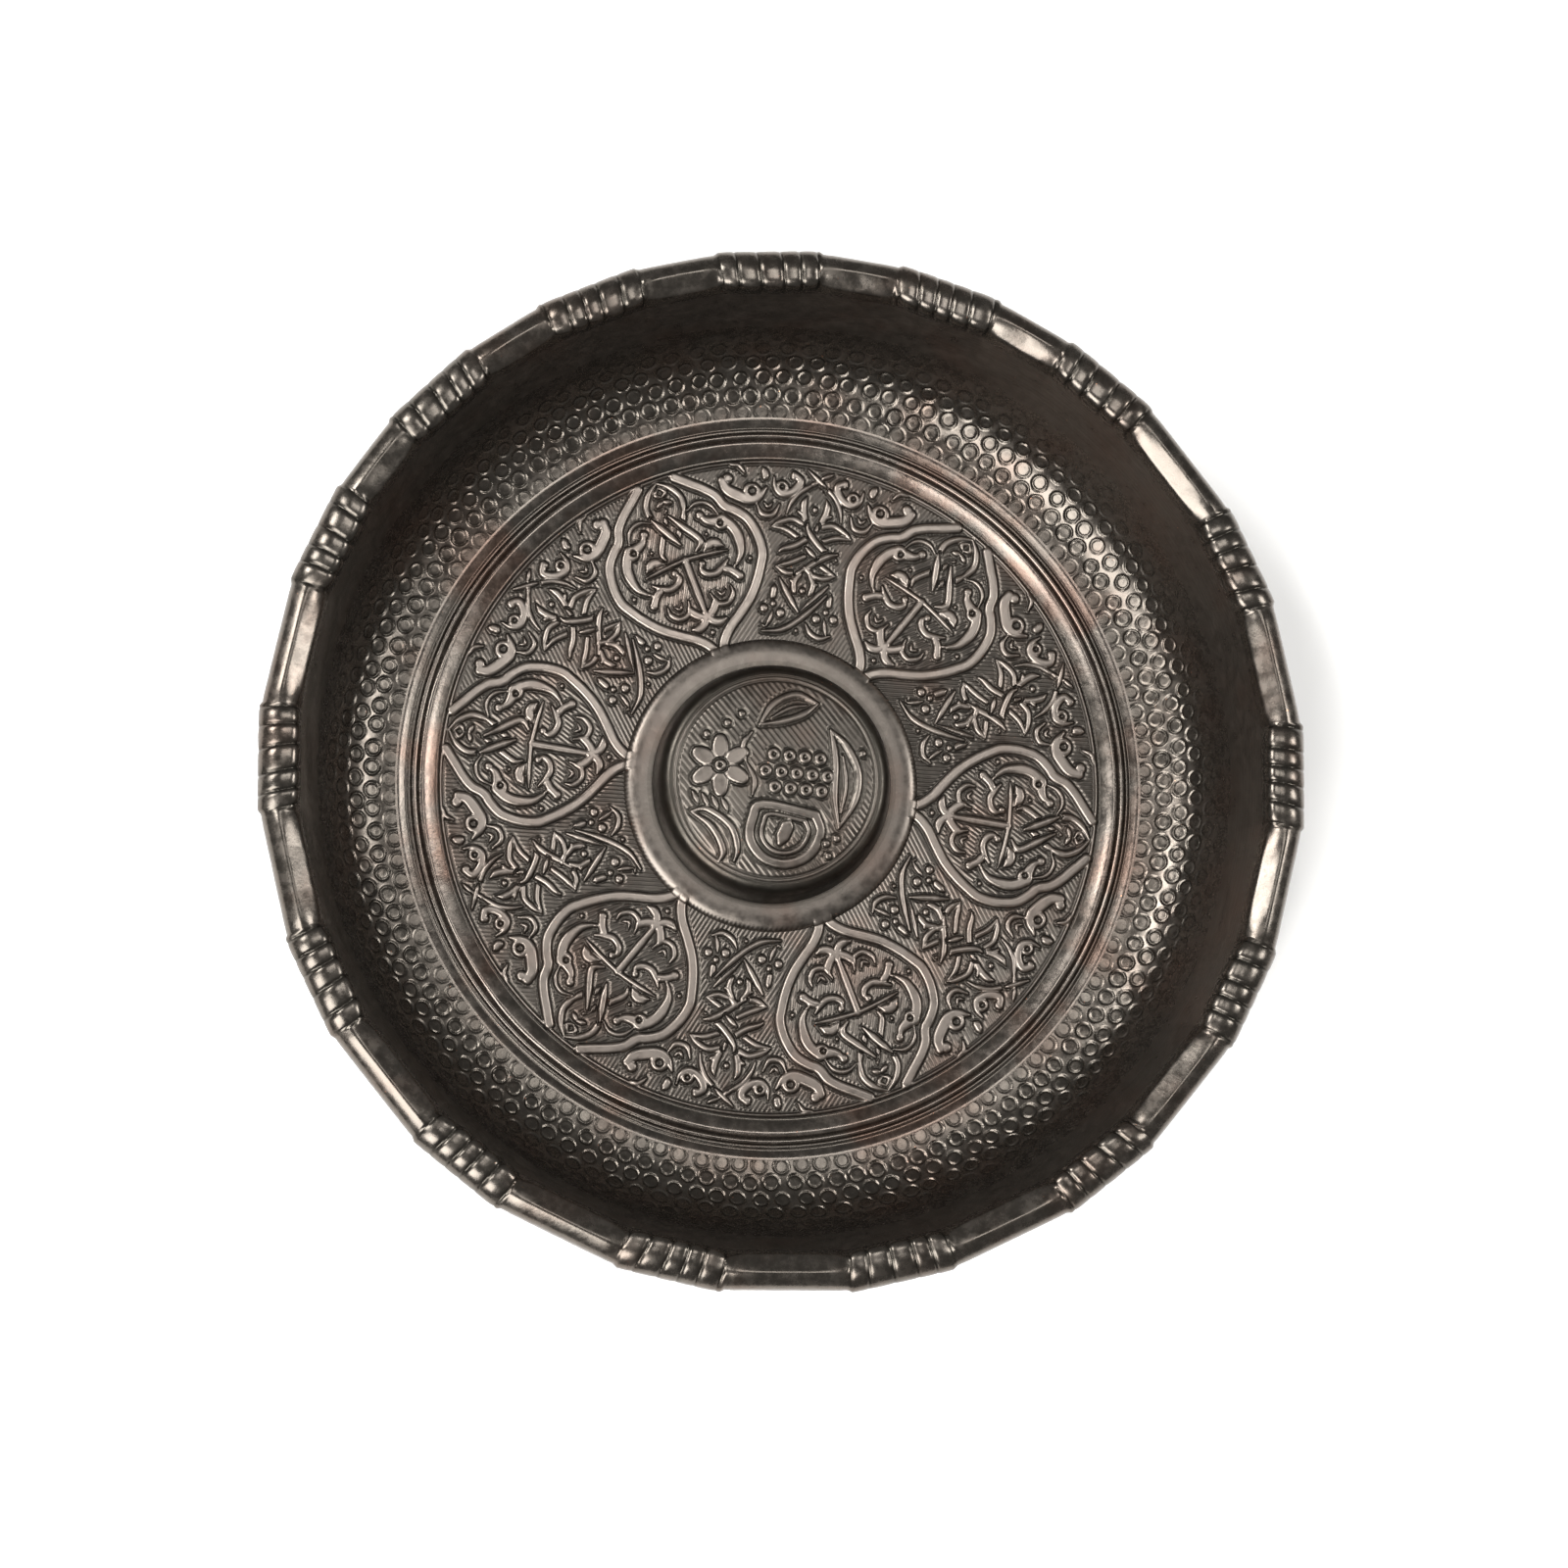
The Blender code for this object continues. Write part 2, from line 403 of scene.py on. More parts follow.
def with_poles(points, quads, others, normals, values, columns, start):
    """The same body with the first row of each face drawn together into one point."""
    lower_columns = columns // COARSE
    merged = np.arange(len(points))
    merged[:columns] = 0
    merged[start : start + lower_columns] = start
    points[0] = points[:columns].mean(axis=0)
    points[start] = points[start : start + lower_columns].mean(axis=0)
    normals[0], normals[start] = (0, 0, 1), (0, 0, -1)
    kept, new_index = np.unique(merged, return_inverse=True)
    quads = new_index[quads]
    others = [[int(new_index[v]) for v in face] for face in others]
    pinched = (quads == np.roll(quads, 1, axis=1)).any(axis=1)
    triangles = [list(dict.fromkeys(face)) for face in quads[pinched].tolist()]
    return points[kept], quads[~pinched], others + triangles, normals[kept], values[kept]


def finish_piece(name, mesh, material):
    """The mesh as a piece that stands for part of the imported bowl."""
    mesh.materials.append(material)
    piece = bpy.data.objects.new(name, mesh)
    bpy.context.scene.collection.objects.link(piece)
    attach(piece, "root")
    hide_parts("copper_bowl")


# ---------------------------------------------------------------- stamped ornament


def curve_through(points, steps=5):
    """A smooth line through the points."""
    points = np.array(points, float)
    ends = np.vstack([2 * points[0] - points[1], points, 2 * points[-1] - points[-2]])
    t = np.linspace(0, 1, steps, endpoint=False)[:, None]
    parts = []
    for a, b, c, d in zip(ends, ends[1:], ends[2:], ends[3:]):
        bend, twist = 2 * a - 5 * b + 4 * c - d, 3 * b - a - 3 * c + d
        parts.append(0.5 * (2 * b + (c - a) * t + bend * t**2 + twist * t**3))
    return np.vstack([*parts, points[-1:]])


class Stamping:
    """Raised strokes over a hatched ground, drawn in turn, each covering what it crosses."""

    SHOULDER = 0.7  # millimetres over which a stroke rounds over to its top
    REACH = 1.6  # millimetres round a stroke that it can change
    BOLD = 1.38  # the press spreads a stroke to this much of its drawn width

    def __init__(self, radius, angle, lift):
        self.radius, self.angle = np.broadcast_arrays(radius, angle)
        self.lift = lift
        self.height = np.full(self.radius.shape, -MOAT)
        self.gap = np.full(self.radius.shape, 9.0)  # distance to the nearest stroke's edge
        self.covered = np.zeros(self.radius.shape, bool)

    def turn_to(self, axis):
        """Draws from here on with y out along the axis and x clockwise from it."""
        away = axis - self.angle
        self.x, self.y = self.radius * np.sin(away), self.radius * np.cos(away)

    def stroke(self, points, width, ends=(0.45, 0.45), lift=1.0, over=False, sides=(1, -1)):
        """A raised line of a full width, narrowing to a share of it at each end, drawn on both sides."""
        line = curve_through(points)
        share = np.linspace(0, 1, len(line))
        opening = np.interp(share, (0, 0.3), (ends[0], 1))
        closing = np.interp(share, (0.7, 1), (1, ends[1]))
        for side in sides:
            self.draw(line * (side, 1), self.BOLD * width / 2 * np.minimum(opening, closing), lift, over)

    def dot(self, centre, radius, lift=1.0, sides=(1, -1), over=True):
        """A round raised dot of a radius, on both sides unless it stands on the axis."""
        for side in sides if centre[0] else sides[:1]:
            middle = np.array(centre, float) * (side, 1)
            self.draw(np.array([middle, middle + (1e-4, 0)]), np.array([radius, radius]), lift, over)

    def eye(self, centre, radius, sides=(1, -1)):
        """A round hollow punched into a stroke."""
        for side in sides if centre[0] else sides[:1]:
            away = radius - np.hypot(self.x - side * centre[0], self.y - centre[1])
            self.height -= (self.lift + MOAT) * np.clip(away / 0.4, 0, 1)

    def draw(self, line, halves, lift, over):
        """Lays a line down, with half its width at each of its points."""
        reach = self.REACH + halves.max()
        low, high = line.min(axis=0) - reach, line.max(axis=0) + reach
        near = (self.x > low[0]) & (self.x < high[0]) & (self.y > low[1]) & (self.y < high[1])
        x, y = self.x[near], self.y[near]
        edge = np.full(len(x), 9.0)
        for (ax, ay), (bx, by), wide, wide_next in zip(line, line[1:], halves, halves[1:]):
            run, climb = bx - ax, by - ay
            t = np.clip(((x - ax) * run + (y - ay) * climb) / (run * run + climb * climb + 1e-12), 0, 1)
            away = np.hypot(x - ax - t * run, y - ay - t * climb)
            np.minimum(edge, away - wide - t * (wide_next - wide), out=edge)
        self.lay(near, edge, min(self.SHOULDER, halves.max()), lift, over)

    def lay(self, near, edge, rounding, lift, over=False):
        """Raises what lies inside an edge, at the near points, where edge is the distance outside it."""
        up = np.clip(-edge / rounding, 0, 1)
        rise = -MOAT + (self.lift * lift + MOAT) * np.sqrt(1 - (1 - up) ** 2)
        height = self.height[near]
        if over:
            height = np.where(edge < 0.4, -MOAT, height)
        self.height[near] = np.where(edge < 0, np.maximum(height, rise), height)
        self.covered[near] |= edge < 0
        self.gap[near] = np.minimum(self.gap[near], np.maximum(edge, 0))

    def ring(self, distance, width, lift):
        """A thin raised ring where the distance from its middle is small."""
        everywhere = np.ones(self.radius.shape, bool)
        edge = np.broadcast_to(np.abs(distance) - width / 2, self.radius.shape)[everywhere]
        self.lay(everywhere, edge, width / 2, lift)

    def hatch(self, zone, lean, pitch, depth):
        """Fine lines on the open ground of a zone. lean is the lines' angle from x."""
        across = self.x * math.sin(lean) - self.y * math.cos(lean)
        wave = 0.5 + 0.5 * np.cos(math.tau * across / pitch)
        clear = np.clip((self.gap - 0.15) / 0.45, 0, 1)
        ground = -MOAT + clear * (MOAT - depth + depth * wave)
        self.height = np.where(zone & ~self.covered, ground, self.height)

    def raised(self):
        """How high each place stands, from 0 in a moat to 1 on top of a stroke."""
        return np.clip((self.height + MOAT) / (self.lift + MOAT), 0, 1)


def stamp_heart(work):
    """A pointed oval medallion: its outline, a strapwork bud, scrolls, a leaf and a stem."""
    shoulder = [(3.8, 64.2), (6.3, 62), (8.6, 60), (10.3, 58), (11.0, 56), (11.6, 55)]
    side = [(11.6, 55), (12.8, 54), (14.4, 52), (15.1, 50), (15.4, 47), (15.0, 44), (13.9, 42), (12.6, 40)]
    foot = [(12.6, 40), (11.0, 38), (9.0, 36), (6.3, 34), (3.4, 32), (1.4, 29.8), (0.6, 27.4)]
    for part in (shoulder, side, foot):
        work.stroke(part, 1.6, ends=(1, 1))
    work.stroke([(0, 58.5), (-1.2, 55.8), (-2.7, 53.2), (-4, 50.5), (-3.6, 49)], 1.1, sides=(1,))
    work.stroke([(3.5, 58), (2.6, 55.8), (0.8, 53.3), (0.1, 51.8)], 1.1, sides=(1,))
    work.stroke([(0, 64.2), (2.2, 62.6), (3.6, 60.3), (3.5, 58), (2.6, 55.8)], 1.1)
    work.stroke([(0, 61.2), (1.1, 62), (0, 63.2)], 0.7)
    work.stroke([(0, 60.3), (1.6, 59.6)], 0.9)
    work.stroke([(-3.5, 57.5), (-1.7, 54.5), (0.2, 51)], 1.15, over=True, sides=(1,))
    work.stroke([(0, 57.2), (1.8, 54.5), (4, 51.3), (4.1, 50), (2.6, 48.8)], 1.15, over=True, sides=(1,))
    work.stroke([(9.4, 54.3), (8.8, 56.2), (7.6, 57.4), (5.8, 57.8), (3.9, 57)], 0.75)
    scroll = [(5.9, 55.4), (6.7, 54), (8.2, 53.2), (10.2, 52.6)]
    scroll += [(11.4, 50.5), (11.6, 48.3), (11, 45.6), (9.6, 43.9)]
    work.stroke(scroll, 1.7)
    work.stroke([(9.6, 43.9), (8.5, 43.2)], 0.6)
    work.dot((9.6, 52.6), 1.75, over=False)
    work.eye((9.2, 52.5), 0.75)
    work.dot((5.9, 55.3), 0.95, over=False)
    work.dot((5.8, 51.3), 0.45)
    work.dot((12.3, 43.8), 0.55)
    work.stroke([(8.3, 47.9), (6.3, 49.3), (4.2, 48.4)], 1.5, ends=(0.2, 0.3))
    work.stroke([(8.7, 46.9), (4.5, 47.5), (0, 47.9)], 0.8, ends=(0.4, 1))
    work.stroke([(0, 47.8), (0, 43), (0, 37)], 1.2, ends=(1, 0.8), sides=(1,))
    work.dot((2.9, 46), 0.8, over=False)
    work.stroke([(2.9, 46), (2.3, 45), (3.1, 43.8), (4.9, 43.3), (6.6, 44.1), (8, 45.1)], 1.15)
    work.stroke([(6.2, 43.9), (7.8, 43), (9, 41.5)], 1.3, ends=(0.6, 1))
    work.dot((9.1, 41.3), 1.0, over=False)
    work.stroke([(2.3, 39.9), (3, 37.6), (5, 37), (6.6, 38.4), (6.7, 40)], 0.95)
    work.stroke([(3.7, 40), (4.4, 38.9), (5.5, 39.6)], 0.6)
    work.stroke([(0, 35.6), (1.3, 36.3), (2.5, 37.6), (2.8, 38.9)], 1.4, ends=(0.9, 0.3))
    work.stroke([(0, 36.4), (0.7, 34.8), (2, 34), (3.6, 34.2)], 1.4, ends=(0.9, 0.4))
    work.dot((0, 32.4), 0.6)


def stamp_field(work):
    """The plant between two medallions: leaf scrolls above, tulips and crossing strands below."""
    one = {"sides": (1,)}
    top = {"over": True, "sides": (1,)}
    curl = [(10.3, 58.8), (11.5, 56.9), (13.4, 55.9), (15.6, 56.2), (18, 57), (19.2, 58.5)]
    work.stroke(curl, 1.9, ends=(0.3, 0.8))
    work.dot((13, 57.4), 2.0, over=False)
    work.dot((18.2, 59.2), 1.15, over=False)
    work.eye((13, 57.6), 0.95)
    leaf = [(9.1, 61.2), (8.6, 59.2), (7, 58.2), (5.2, 58.8), (4, 60.2), (3.8, 61.4), (5.1, 62.3)]
    work.stroke(leaf, 1.35, ends=(0.3, 0.9))
    work.dot((7.2, 59.4), 1.5, over=False)
    work.dot((5.2, 61.9), 0.8, over=False)
    work.eye((7.2, 59.5), 0.7)
    work.stroke([(11.6, 62.6), (10.9, 61.4), (10.9, 60.8)], 1.3, ends=(0.3, 0.8))
    work.stroke([(7.2, 55.9), (8.2, 53.6), (10.4, 53.4), (11.7, 55.2)], 0.95)
    work.stroke([(8.6, 56), (9.4, 55), (10.4, 55.8)], 0.65)
    work.stroke([(15, 60.9), (16.4, 62.2), (18, 62)], 0.8)
    work.stroke([(5.5, 54.3), (5, 56.5), (3.7, 58.8), (1.9, 60.4), (0.8, 61.3)], 0.85)
    work.stroke([(1.5, 60.8), (0, 61.9), (-2.6, 63.7)], 0.85, **top)
    work.stroke([(-1.5, 60.8), (-0.3, 61.6)], 0.85, **one)
    work.stroke([(0.3, 62.4), (2.6, 63.7)], 0.8, **one)
    work.stroke([(1.9, 58.4), (2.4, 56.8), (2, 54.6), (0.9, 52.4)], 1.15, ends=(0.25, 0.7))
    work.stroke([(2.2, 54.6), (3.6, 55.3)], 0.7, ends=(1, 0.3))
    work.dot((0, 56), 0.7)
    work.stroke([(8, 51.2), (6.7, 52.3), (4.2, 53.4), (2, 52.8), (0.9, 52.2)], 1.0, ends=(0.4, 0.8))
    work.stroke([(8, 51.2), (5.2, 51.1), (2.7, 50), (1.4, 49.4)], 0.95, ends=(0.4, 0.8))
    work.stroke([(6, 43.4), (3.2, 44.7), (0.7, 46.3)], 0.95, ends=(0.4, 0.9))
    work.stroke([(6, 43.4), (3.7, 42.5), (1.6, 42.8)], 0.95, ends=(0.4, 0.9))
    work.stroke([(1, 53), (0.8, 51.8), (-0.7, 50), (-2.7, 48.3), (-5, 47.2), (-5.8, 46.5)], 1.05, over=True)
    work.stroke([(-1.7, 42.7), (0.3, 44.2), (2.3, 46), (4.3, 47.3), (5.8, 47.8)], 1.05, **top)
    work.stroke([(1.7, 42.7), (0.4, 43.6), (-0.4, 44.3)], 1.0, **one)
    work.stroke([(-0.8, 48.2), (1.6, 46.4)], 0.9, **top)
    work.stroke([(1, 42.6), (1.9, 41), (1.7, 39.4), (1.2, 38.6)], 1.05, ends=(0.8, 0.3))
    work.stroke([(1.8, 41), (2.9, 41.1)], 0.65, ends=(1, 0.3))
    work.dot((0, 39.4), 0.75)
    work.stroke([(4.9, 41.2), (2.6, 38.1), (0.2, 35)], 1.0)
    work.stroke([(5.6, 39.8), (5.6, 38.2), (5.7, 36.5)], 1.1, ends=(0.2, 0.5))
    work.stroke([(1.6, 33), (2.8, 31.3), (4.8, 30.5), (6.8, 31.3)], 0.95)
    strand = [(4.9, 39.3), (2.8, 36.5), (0.5, 33.8), (-1.7, 31.8), (-3.7, 30.7), (-6.7, 30.1)]
    work.stroke(strand, 1.0, **top)
    work.dot((3.6, 34.3), 1.0)
    work.dot((7, 34.7), 0.95)
    work.dot((5.3, 35.9), 0.7)
    work.stroke([(5.2, 34.4), (5.5, 32.8), (6, 31.3)], 0.75)
    work.dot((0, 31.3), 0.5)


def soft_step(value, start, end):
    """From 0 at the start to 1 at the end, with an eased change."""
    share = np.clip((value - start) / (end - start), 0, 1)
    return share * share * (3 - 2 * share)


def in_heart(x, y):
    """Whether a place is inside the medallion's outline."""
    rows = (28, 30, 32, 34, 36, 38, 40, 42, 44, 47, 50, 52, 54, 56, 58, 60, 62, 66)
    halves = (0, 1.2, 3.4, 6.3, 9, 11, 12.6, 13.9, 15, 15.4, 15.1, 14.4, 12.8, 11, 10.3, 8.6, 6.3, 2)
    return np.abs(x) < np.interp(y, rows, halves)


def stamped_floor(line, angles):
    """The floor's relief over one sixth of the bowl, the heart in its middle."""
    settings = sizes()
    work = Stamping(line[:, :1], angles[None, :], settings.relief / MM)
    half = math.pi / SECTORS
    for axis in (half, -half):
        work.turn_to(axis)
        stamp_field(work)
    work.turn_to(0)
    stamp_heart(work)
    work.ring(work.radius - BORDER_RADIUS, 0.7, 0.6)
    pitch, depth = settings.hatch_pitch / MM, settings.hatch_depth / MM
    inside = in_heart(work.x, work.y)
    work.hatch(inside, math.radians(62), pitch, depth)
    for axis in (half, -half):
        work.turn_to(axis)
        work.hatch(~inside & ((work.angle >= 0) == (axis > 0)), math.radians(66), pitch, depth)
    fade = soft_step(work.radius, COLLAR_RADIUS - 0.4, COLLAR_RADIUS + 1.2)
    rise = soft_step(work.radius, COLLAR_RADIUS - 0.9, COLLAR_RADIUS + 1.5)
    height = work.height * np.where(work.height > 0, rise, fade)
    return height, work.raised() * fade + PLAIN_FACE * (1 - fade)


def stamped_boss(line, angles):
    """The boss's picture: half a fruit, berries, a flower and leaves, inside a thin raised ring."""
    settings = sizes()
    work = Stamping(line[:, :1], angles[None, :], 0.5 * settings.relief / MM)
    work.turn_to(UPRIGHT)
    one = {"sides": (1,)}
    leaves = (
        [(12.2, -9.5), (15.4, -4.4), (16.2, 1.2), (13.8, 6.6), (10.6, 9.6)],
        [(12.2, -9.5), (11.4, -3.6), (11.6, 2.4), (11.2, 6.6), (10.6, 9.6)],
        [(-3.4, 10.4), (-0.6, 14.6), (4, 16.6), (8.2, 14.8)],
        [(-3.4, 10.4), (1.2, 11.2), (5.2, 12.6), (8.2, 14.8)],
        [(-16.6, -6.6), (-12.6, -9.6), (-10.4, -14), (-11.2, -16.4)],
        [(-16.6, -6.6), (-13.4, -6.2), (-9, -9.4), (-7.6, -13.6), (-8.2, -16.2)],
    )
    for leaf in leaves:
        work.stroke(leaf, 1.1, **one)
    work.stroke([(12.6, -6.6), (13.6, -1), (13, 4.6)], 0.7, **one)
    work.stroke([(-1, 11.8), (2.6, 13.8), (6, 14.4)], 0.7, **one)
    flower = np.array([-11, 2.4])
    for k in range(6):
        out = np.array([math.cos(math.radians(30 + 60 * k)), math.sin(math.radians(30 + 60 * k))])
        work.stroke([flower + out * 1.9, flower + out * 4.9], 2.5, ends=(0.4, 0.8), **one)
    work.dot(flower, 1.25, **one)
    work.eye(flower, 0.55, **one)
    for step in range(4):
        x, y = -16.4 + 1.9 * step, -2.6 - 0.5 * step
        work.stroke([(x, y), (x + 1.2, y - 2.4)], 0.9, **one)
    for count, start, height in ((4, -0.6, 4.6), (5, -2.2, 1.4), (4, -0.4, -1.8)):
        for k in range(count):
            berry = (start + 3.05 * k, height - 0.25 * k)
            work.dot(berry, 1.35, over=False, **one)
            work.eye(berry, 0.6, **one)
    work.stroke([(-4.8, 9), (-6.6, 6.4), (-6, 3)], 0.9, **one)
    work.stroke([(-6, 3), (-4.4, -0.4), (-4.8, -3.4)], 0.9, **one)
    fruit = [(7.6, -7.2), (8.6, -10.5), (6.6, -14.6), (2.2, -16.6)]
    fruit += [(-2.4, -15.6), (-5.2, -12), (-4.8, -8), (-2.6, -5.2)]
    work.stroke([*fruit, fruit[0]], 1.5, ends=(1, 1), over=True, **one)
    inner = [(1.5 + (x - 1.5) * 0.66, -10.6 + (y + 10.6) * 0.66) for x, y in fruit]
    work.stroke([*inner, inner[0]], 0.75, ends=(1, 1), **one)
    work.stroke([(2.6, -8.2), (1.6, -10.4), (0.6, -12.6)], 2.0, ends=(0.2, 0.5), **one)
    seeds = ((9.8, -12.6), (11.8, -11.6), (10.2, -15), (-6.8, 12.6), (-9.6, 10.8), (-13.6, 8.6), (17, 5.2))
    for seed in seeds:
        work.dot(seed, 0.8, **one)
    along = length_along(line)[:, None]
    work.ring(along - BOSS_EDGE_RADIUS + 0.6, 0.7, 0.15)
    picture = along + 0 * work.radius < BOSS_EDGE_RADIUS - 0.1
    work.hatch(picture, math.radians(-52), settings.boss_pitch / MM, 0.6 * settings.hatch_depth / MM)
    # Painted shade: outside the picture, the boss's edge and its round side are given no raise, so they
    # take the full hollow shade; the collar beyond is plain.
    plain = np.interp(line[:, :1], (BOSS_FOOT_RADIUS, BOSS_FOOT_RADIUS + 0.9), (0.0, PLAIN_FACE))
    return np.where(picture, work.height, 0.0), np.where(picture, work.raised(), plain)


# ---------------------------------------------------------------- materials

# Painted shade in the hollows, painted shade laid over whole strips, the wire's rust and the table's
# clouding.
HOLLOW_SHADE_COLOUR, SHADE_COLOUR, RUST_COLOUR, CLOUD_COLOUR = "#1a1815", "#272620", "#5b3a2a", "#efeeec"


def add(tree, kind, inputs=None, **settings):
    """A node with its settings, and its inputs set to values or linked to other nodes' sockets."""
    node = tree.nodes.new(kind)
    for key, value in settings.items():
        setattr(node, key, value)
    for key, value in (inputs or {}).items():
        if isinstance(value, bpy.types.NodeSocket):
            tree.links.new(value, node.inputs[key])
        else:
            node.inputs[key].default_value = value
    return node


def blended(tree, factor, low, high):
    """One colour giving way to another as the factor goes from 0 to 1."""
    return add(tree, "ShaderNodeMix", {0: factor, 6: low, 7: high}, data_type="RGBA").outputs[2]


def eased(tree, value, low, high, to_low=0.0, to_high=1.0):
    """A value carried from one range to another, with an eased change."""
    inputs = {0: value, 1: low, 2: high, 3: to_low, 4: to_high}
    return add(tree, "ShaderNodeMapRange", inputs, interpolation_type="SMOOTHSTEP").outputs[0]


def maths(tree, operation, first, second=0.0, third=0.0):
    """The result of one arithmetic step."""
    return add(tree, "ShaderNodeMath", {0: first, 1: second, 2: third}, operation=operation).outputs[0]


def cloud(tree, place, size, detail=4.0, rough=0.55):
    """Noise whose blotches are about the given size in millimetres."""
    inputs = {"Vector": place, "Scale": 1 / (size * MM), "Detail": detail, "Roughness": rough}
    return add(tree, "ShaderNodeTexNoise", inputs).outputs[0]


def bumped(tree, height, depth, strength, normal=None):
    """A normal roughened by a height, whose full range is a depth in millimetres."""
    inputs = {"Strength": strength, "Distance": depth * MM, "Height": height}
    if normal:
        inputs["Normal"] = normal
    return add(tree, "ShaderNodeBump", inputs).outputs[0]


def patinated_copper(name, dark=0.0, high=None, bloom=0.0, rough=0.36, streaks=0.0):
    """Pressed copper with an old brown-black patina, worn lighter on raised work, with painted shade in its
    hollows, satin in the light.

    dark is painted shade that darkens the whole strip, changing towards high where the sheet climbs to the
    wall. bloom adds the brown-red oxide near the beads, rough is how soft the shine is, and streaks adds
    the turning lines that a wall keeps. The specks' bump is drawn deeper than real grit, so that it shows.
    """
    material = bpy.data.materials.new(name)
    material.use_nodes = True
    tree = material.node_tree
    shader = tree.nodes["Principled BSDF"]
    tone = colours()
    place = add(tree, "ShaderNodeTexCoord").outputs["Object"]
    raised = add(tree, "ShaderNodeAttribute", attribute_name="raised").outputs["Fac"]
    blotches = cloud(tree, place, 14, 5)
    grain = cloud(tree, place, 2.2, 6, 0.65)
    specks = cloud(tree, place, 0.7, 3, 0.6)
    rub = eased(tree, maths(tree, "MULTIPLY", raised, eased(tree, grain, 0.3, 0.7, 0.38, 0.58)), 0.1, 0.5)
    colour = blended(tree, rub, (*tone.patina, 1), (*tone.worn, 1))
    colour = blended(tree, eased(tree, blotches, 0.45, 0.72, 0.0, 0.22), colour, (*tone.oxide, 1))
    if bloom:
        flat = add(tree, "ShaderNodeVectorMath", {0: place, 1: (1, 1, 0)}, operation="MULTIPLY").outputs[0]
        radius = add(tree, "ShaderNodeVectorMath", {0: flat}, operation="LENGTH").outputs["Value"]
        inward = eased(tree, radius, 60 * MM, 66 * MM)
        zone = maths(tree, "MULTIPLY", inward, eased(tree, radius, 72 * MM, 79 * MM, 1.0, 0.0))
        patches = eased(tree, cloud(tree, place, 26, 4, 0.6), 0.48, 0.62, 0.0, bloom)
        colour = blended(tree, maths(tree, "MULTIPLY", zone, patches), colour, (*tone.oxide, 1))
    # Painted shade: where the sheet lies low, in moats, grooves, creases and on the boss's side, the colour
    # darkens towards a near-black brown.
    colour = blended(tree, eased(tree, raised, 0.0, 0.3, 0.5, 0.0), colour, (*linear(HOLLOW_SHADE_COLOUR), 1))
    # Painted shade over the whole strip: the colour darkens towards a dark olive-brown by the dark amount,
    # changing to high with height.
    climb = add(tree, "ShaderNodeSeparateXYZ", {0: place}).outputs["Z"]
    shade = eased(tree, climb, 2.5 * MM, 12 * MM, dark, dark if high is None else high)
    colour = blended(tree, shade, colour, (*linear(SHADE_COLOUR), 1))
    colour = blended(tree, eased(tree, specks, 0.73, 0.8), colour, (*tone.bare, 1))
    tree.links.new(colour, shader.inputs["Base Color"])
    shader.inputs["Metallic"].default_value = 0.95
    tree.links.new(eased(tree, grain, 0.25, 0.75, rough - 0.06, rough + 0.1), shader.inputs["Roughness"])
    normal = bumped(tree, specks, 0.06, 0.3)
    normal = bumped(tree, cloud(tree, place, 5, 2), 0.3, 0.15, normal)
    if streaks:
        level = add(tree, "ShaderNodeCombineXYZ", {"Z": climb}).outputs[0]
        normal = bumped(tree, cloud(tree, level, 0.8, 2), 0.1, streaks, normal)
    tree.links.new(normal, shader.inputs["Normal"])
    return material


def rusted_iron(name):
    """Drawn iron wire with a dull, patchy grey-brown skin of rust, seen only inside the roll."""
    material = bpy.data.materials.new(name)
    material.use_nodes = True
    tree = material.node_tree
    shader = tree.nodes["Principled BSDF"]
    place = add(tree, "ShaderNodeTexCoord").outputs["Object"]
    skin = cloud(tree, place, 1.5, 5, 0.6)
    colour = blended(tree, eased(tree, skin, 0.4, 0.65), (*colours().iron, 1), (*linear(RUST_COLOUR), 1))
    tree.links.new(colour, shader.inputs["Base Color"])
    tree.links.new(eased(tree, skin, 0.3, 0.7, 0.45, 0.75), shader.inputs["Roughness"])
    shader.inputs["Metallic"].default_value = 0.85
    tree.links.new(bumped(tree, skin, 0.1, 0.4), shader.inputs["Normal"])
    return material


# ---------------------------------------------------------------- node trees for what repeats


def node_tree(name, sockets):
    """An empty geometry tree with its named inputs, and its input and output nodes."""
    tree = bpy.data.node_groups.new(name, "GeometryNodeTree")
    tree.interface.new_socket("Geometry", in_out="INPUT", socket_type="NodeSocketGeometry")
    tree.interface.new_socket("Geometry", in_out="OUTPUT", socket_type="NodeSocketGeometry")
    for label, kind in sockets.items():
        tree.interface.new_socket(label, in_out="INPUT", socket_type=kind)
    return tree, add(tree, "NodeGroupInput").outputs, add(tree, "NodeGroupOutput")


def shaped(tree, value, points):
    """A value passed through a given curve."""
    node = add(tree, "ShaderNodeFloatCurve", {"Value": value})
    curve = node.mapping.curves[0]
    while len(curve.points) < len(points):
        curve.points.new(0.5, 0.5)
    for point, place in zip(curve.points, points):
        point.location = place
    node.mapping.update()
    return node.outputs[0]


def moved_out(tree, geometry, amount):
    """The geometry with its points moved along their normals."""
    normal = add(tree, "GeometryNodeInputNormal").outputs["Normal"]
    offset = add(tree, "ShaderNodeVectorMath", {0: normal, "Scale": amount}, operation="SCALE").outputs[0]
    return add(tree, "GeometryNodeSetPosition", {"Geometry": geometry, "Offset": offset}).outputs[0]


def stored(tree, geometry, name, value):
    """The geometry with a value kept on its points under a name."""
    inputs = {"Geometry": geometry, "Name": name, "Value": value}
    kind = "GeometryNodeStoreNamedAttribute"
    return add(tree, kind, inputs, data_type="FLOAT", domain="POINT").outputs[0]


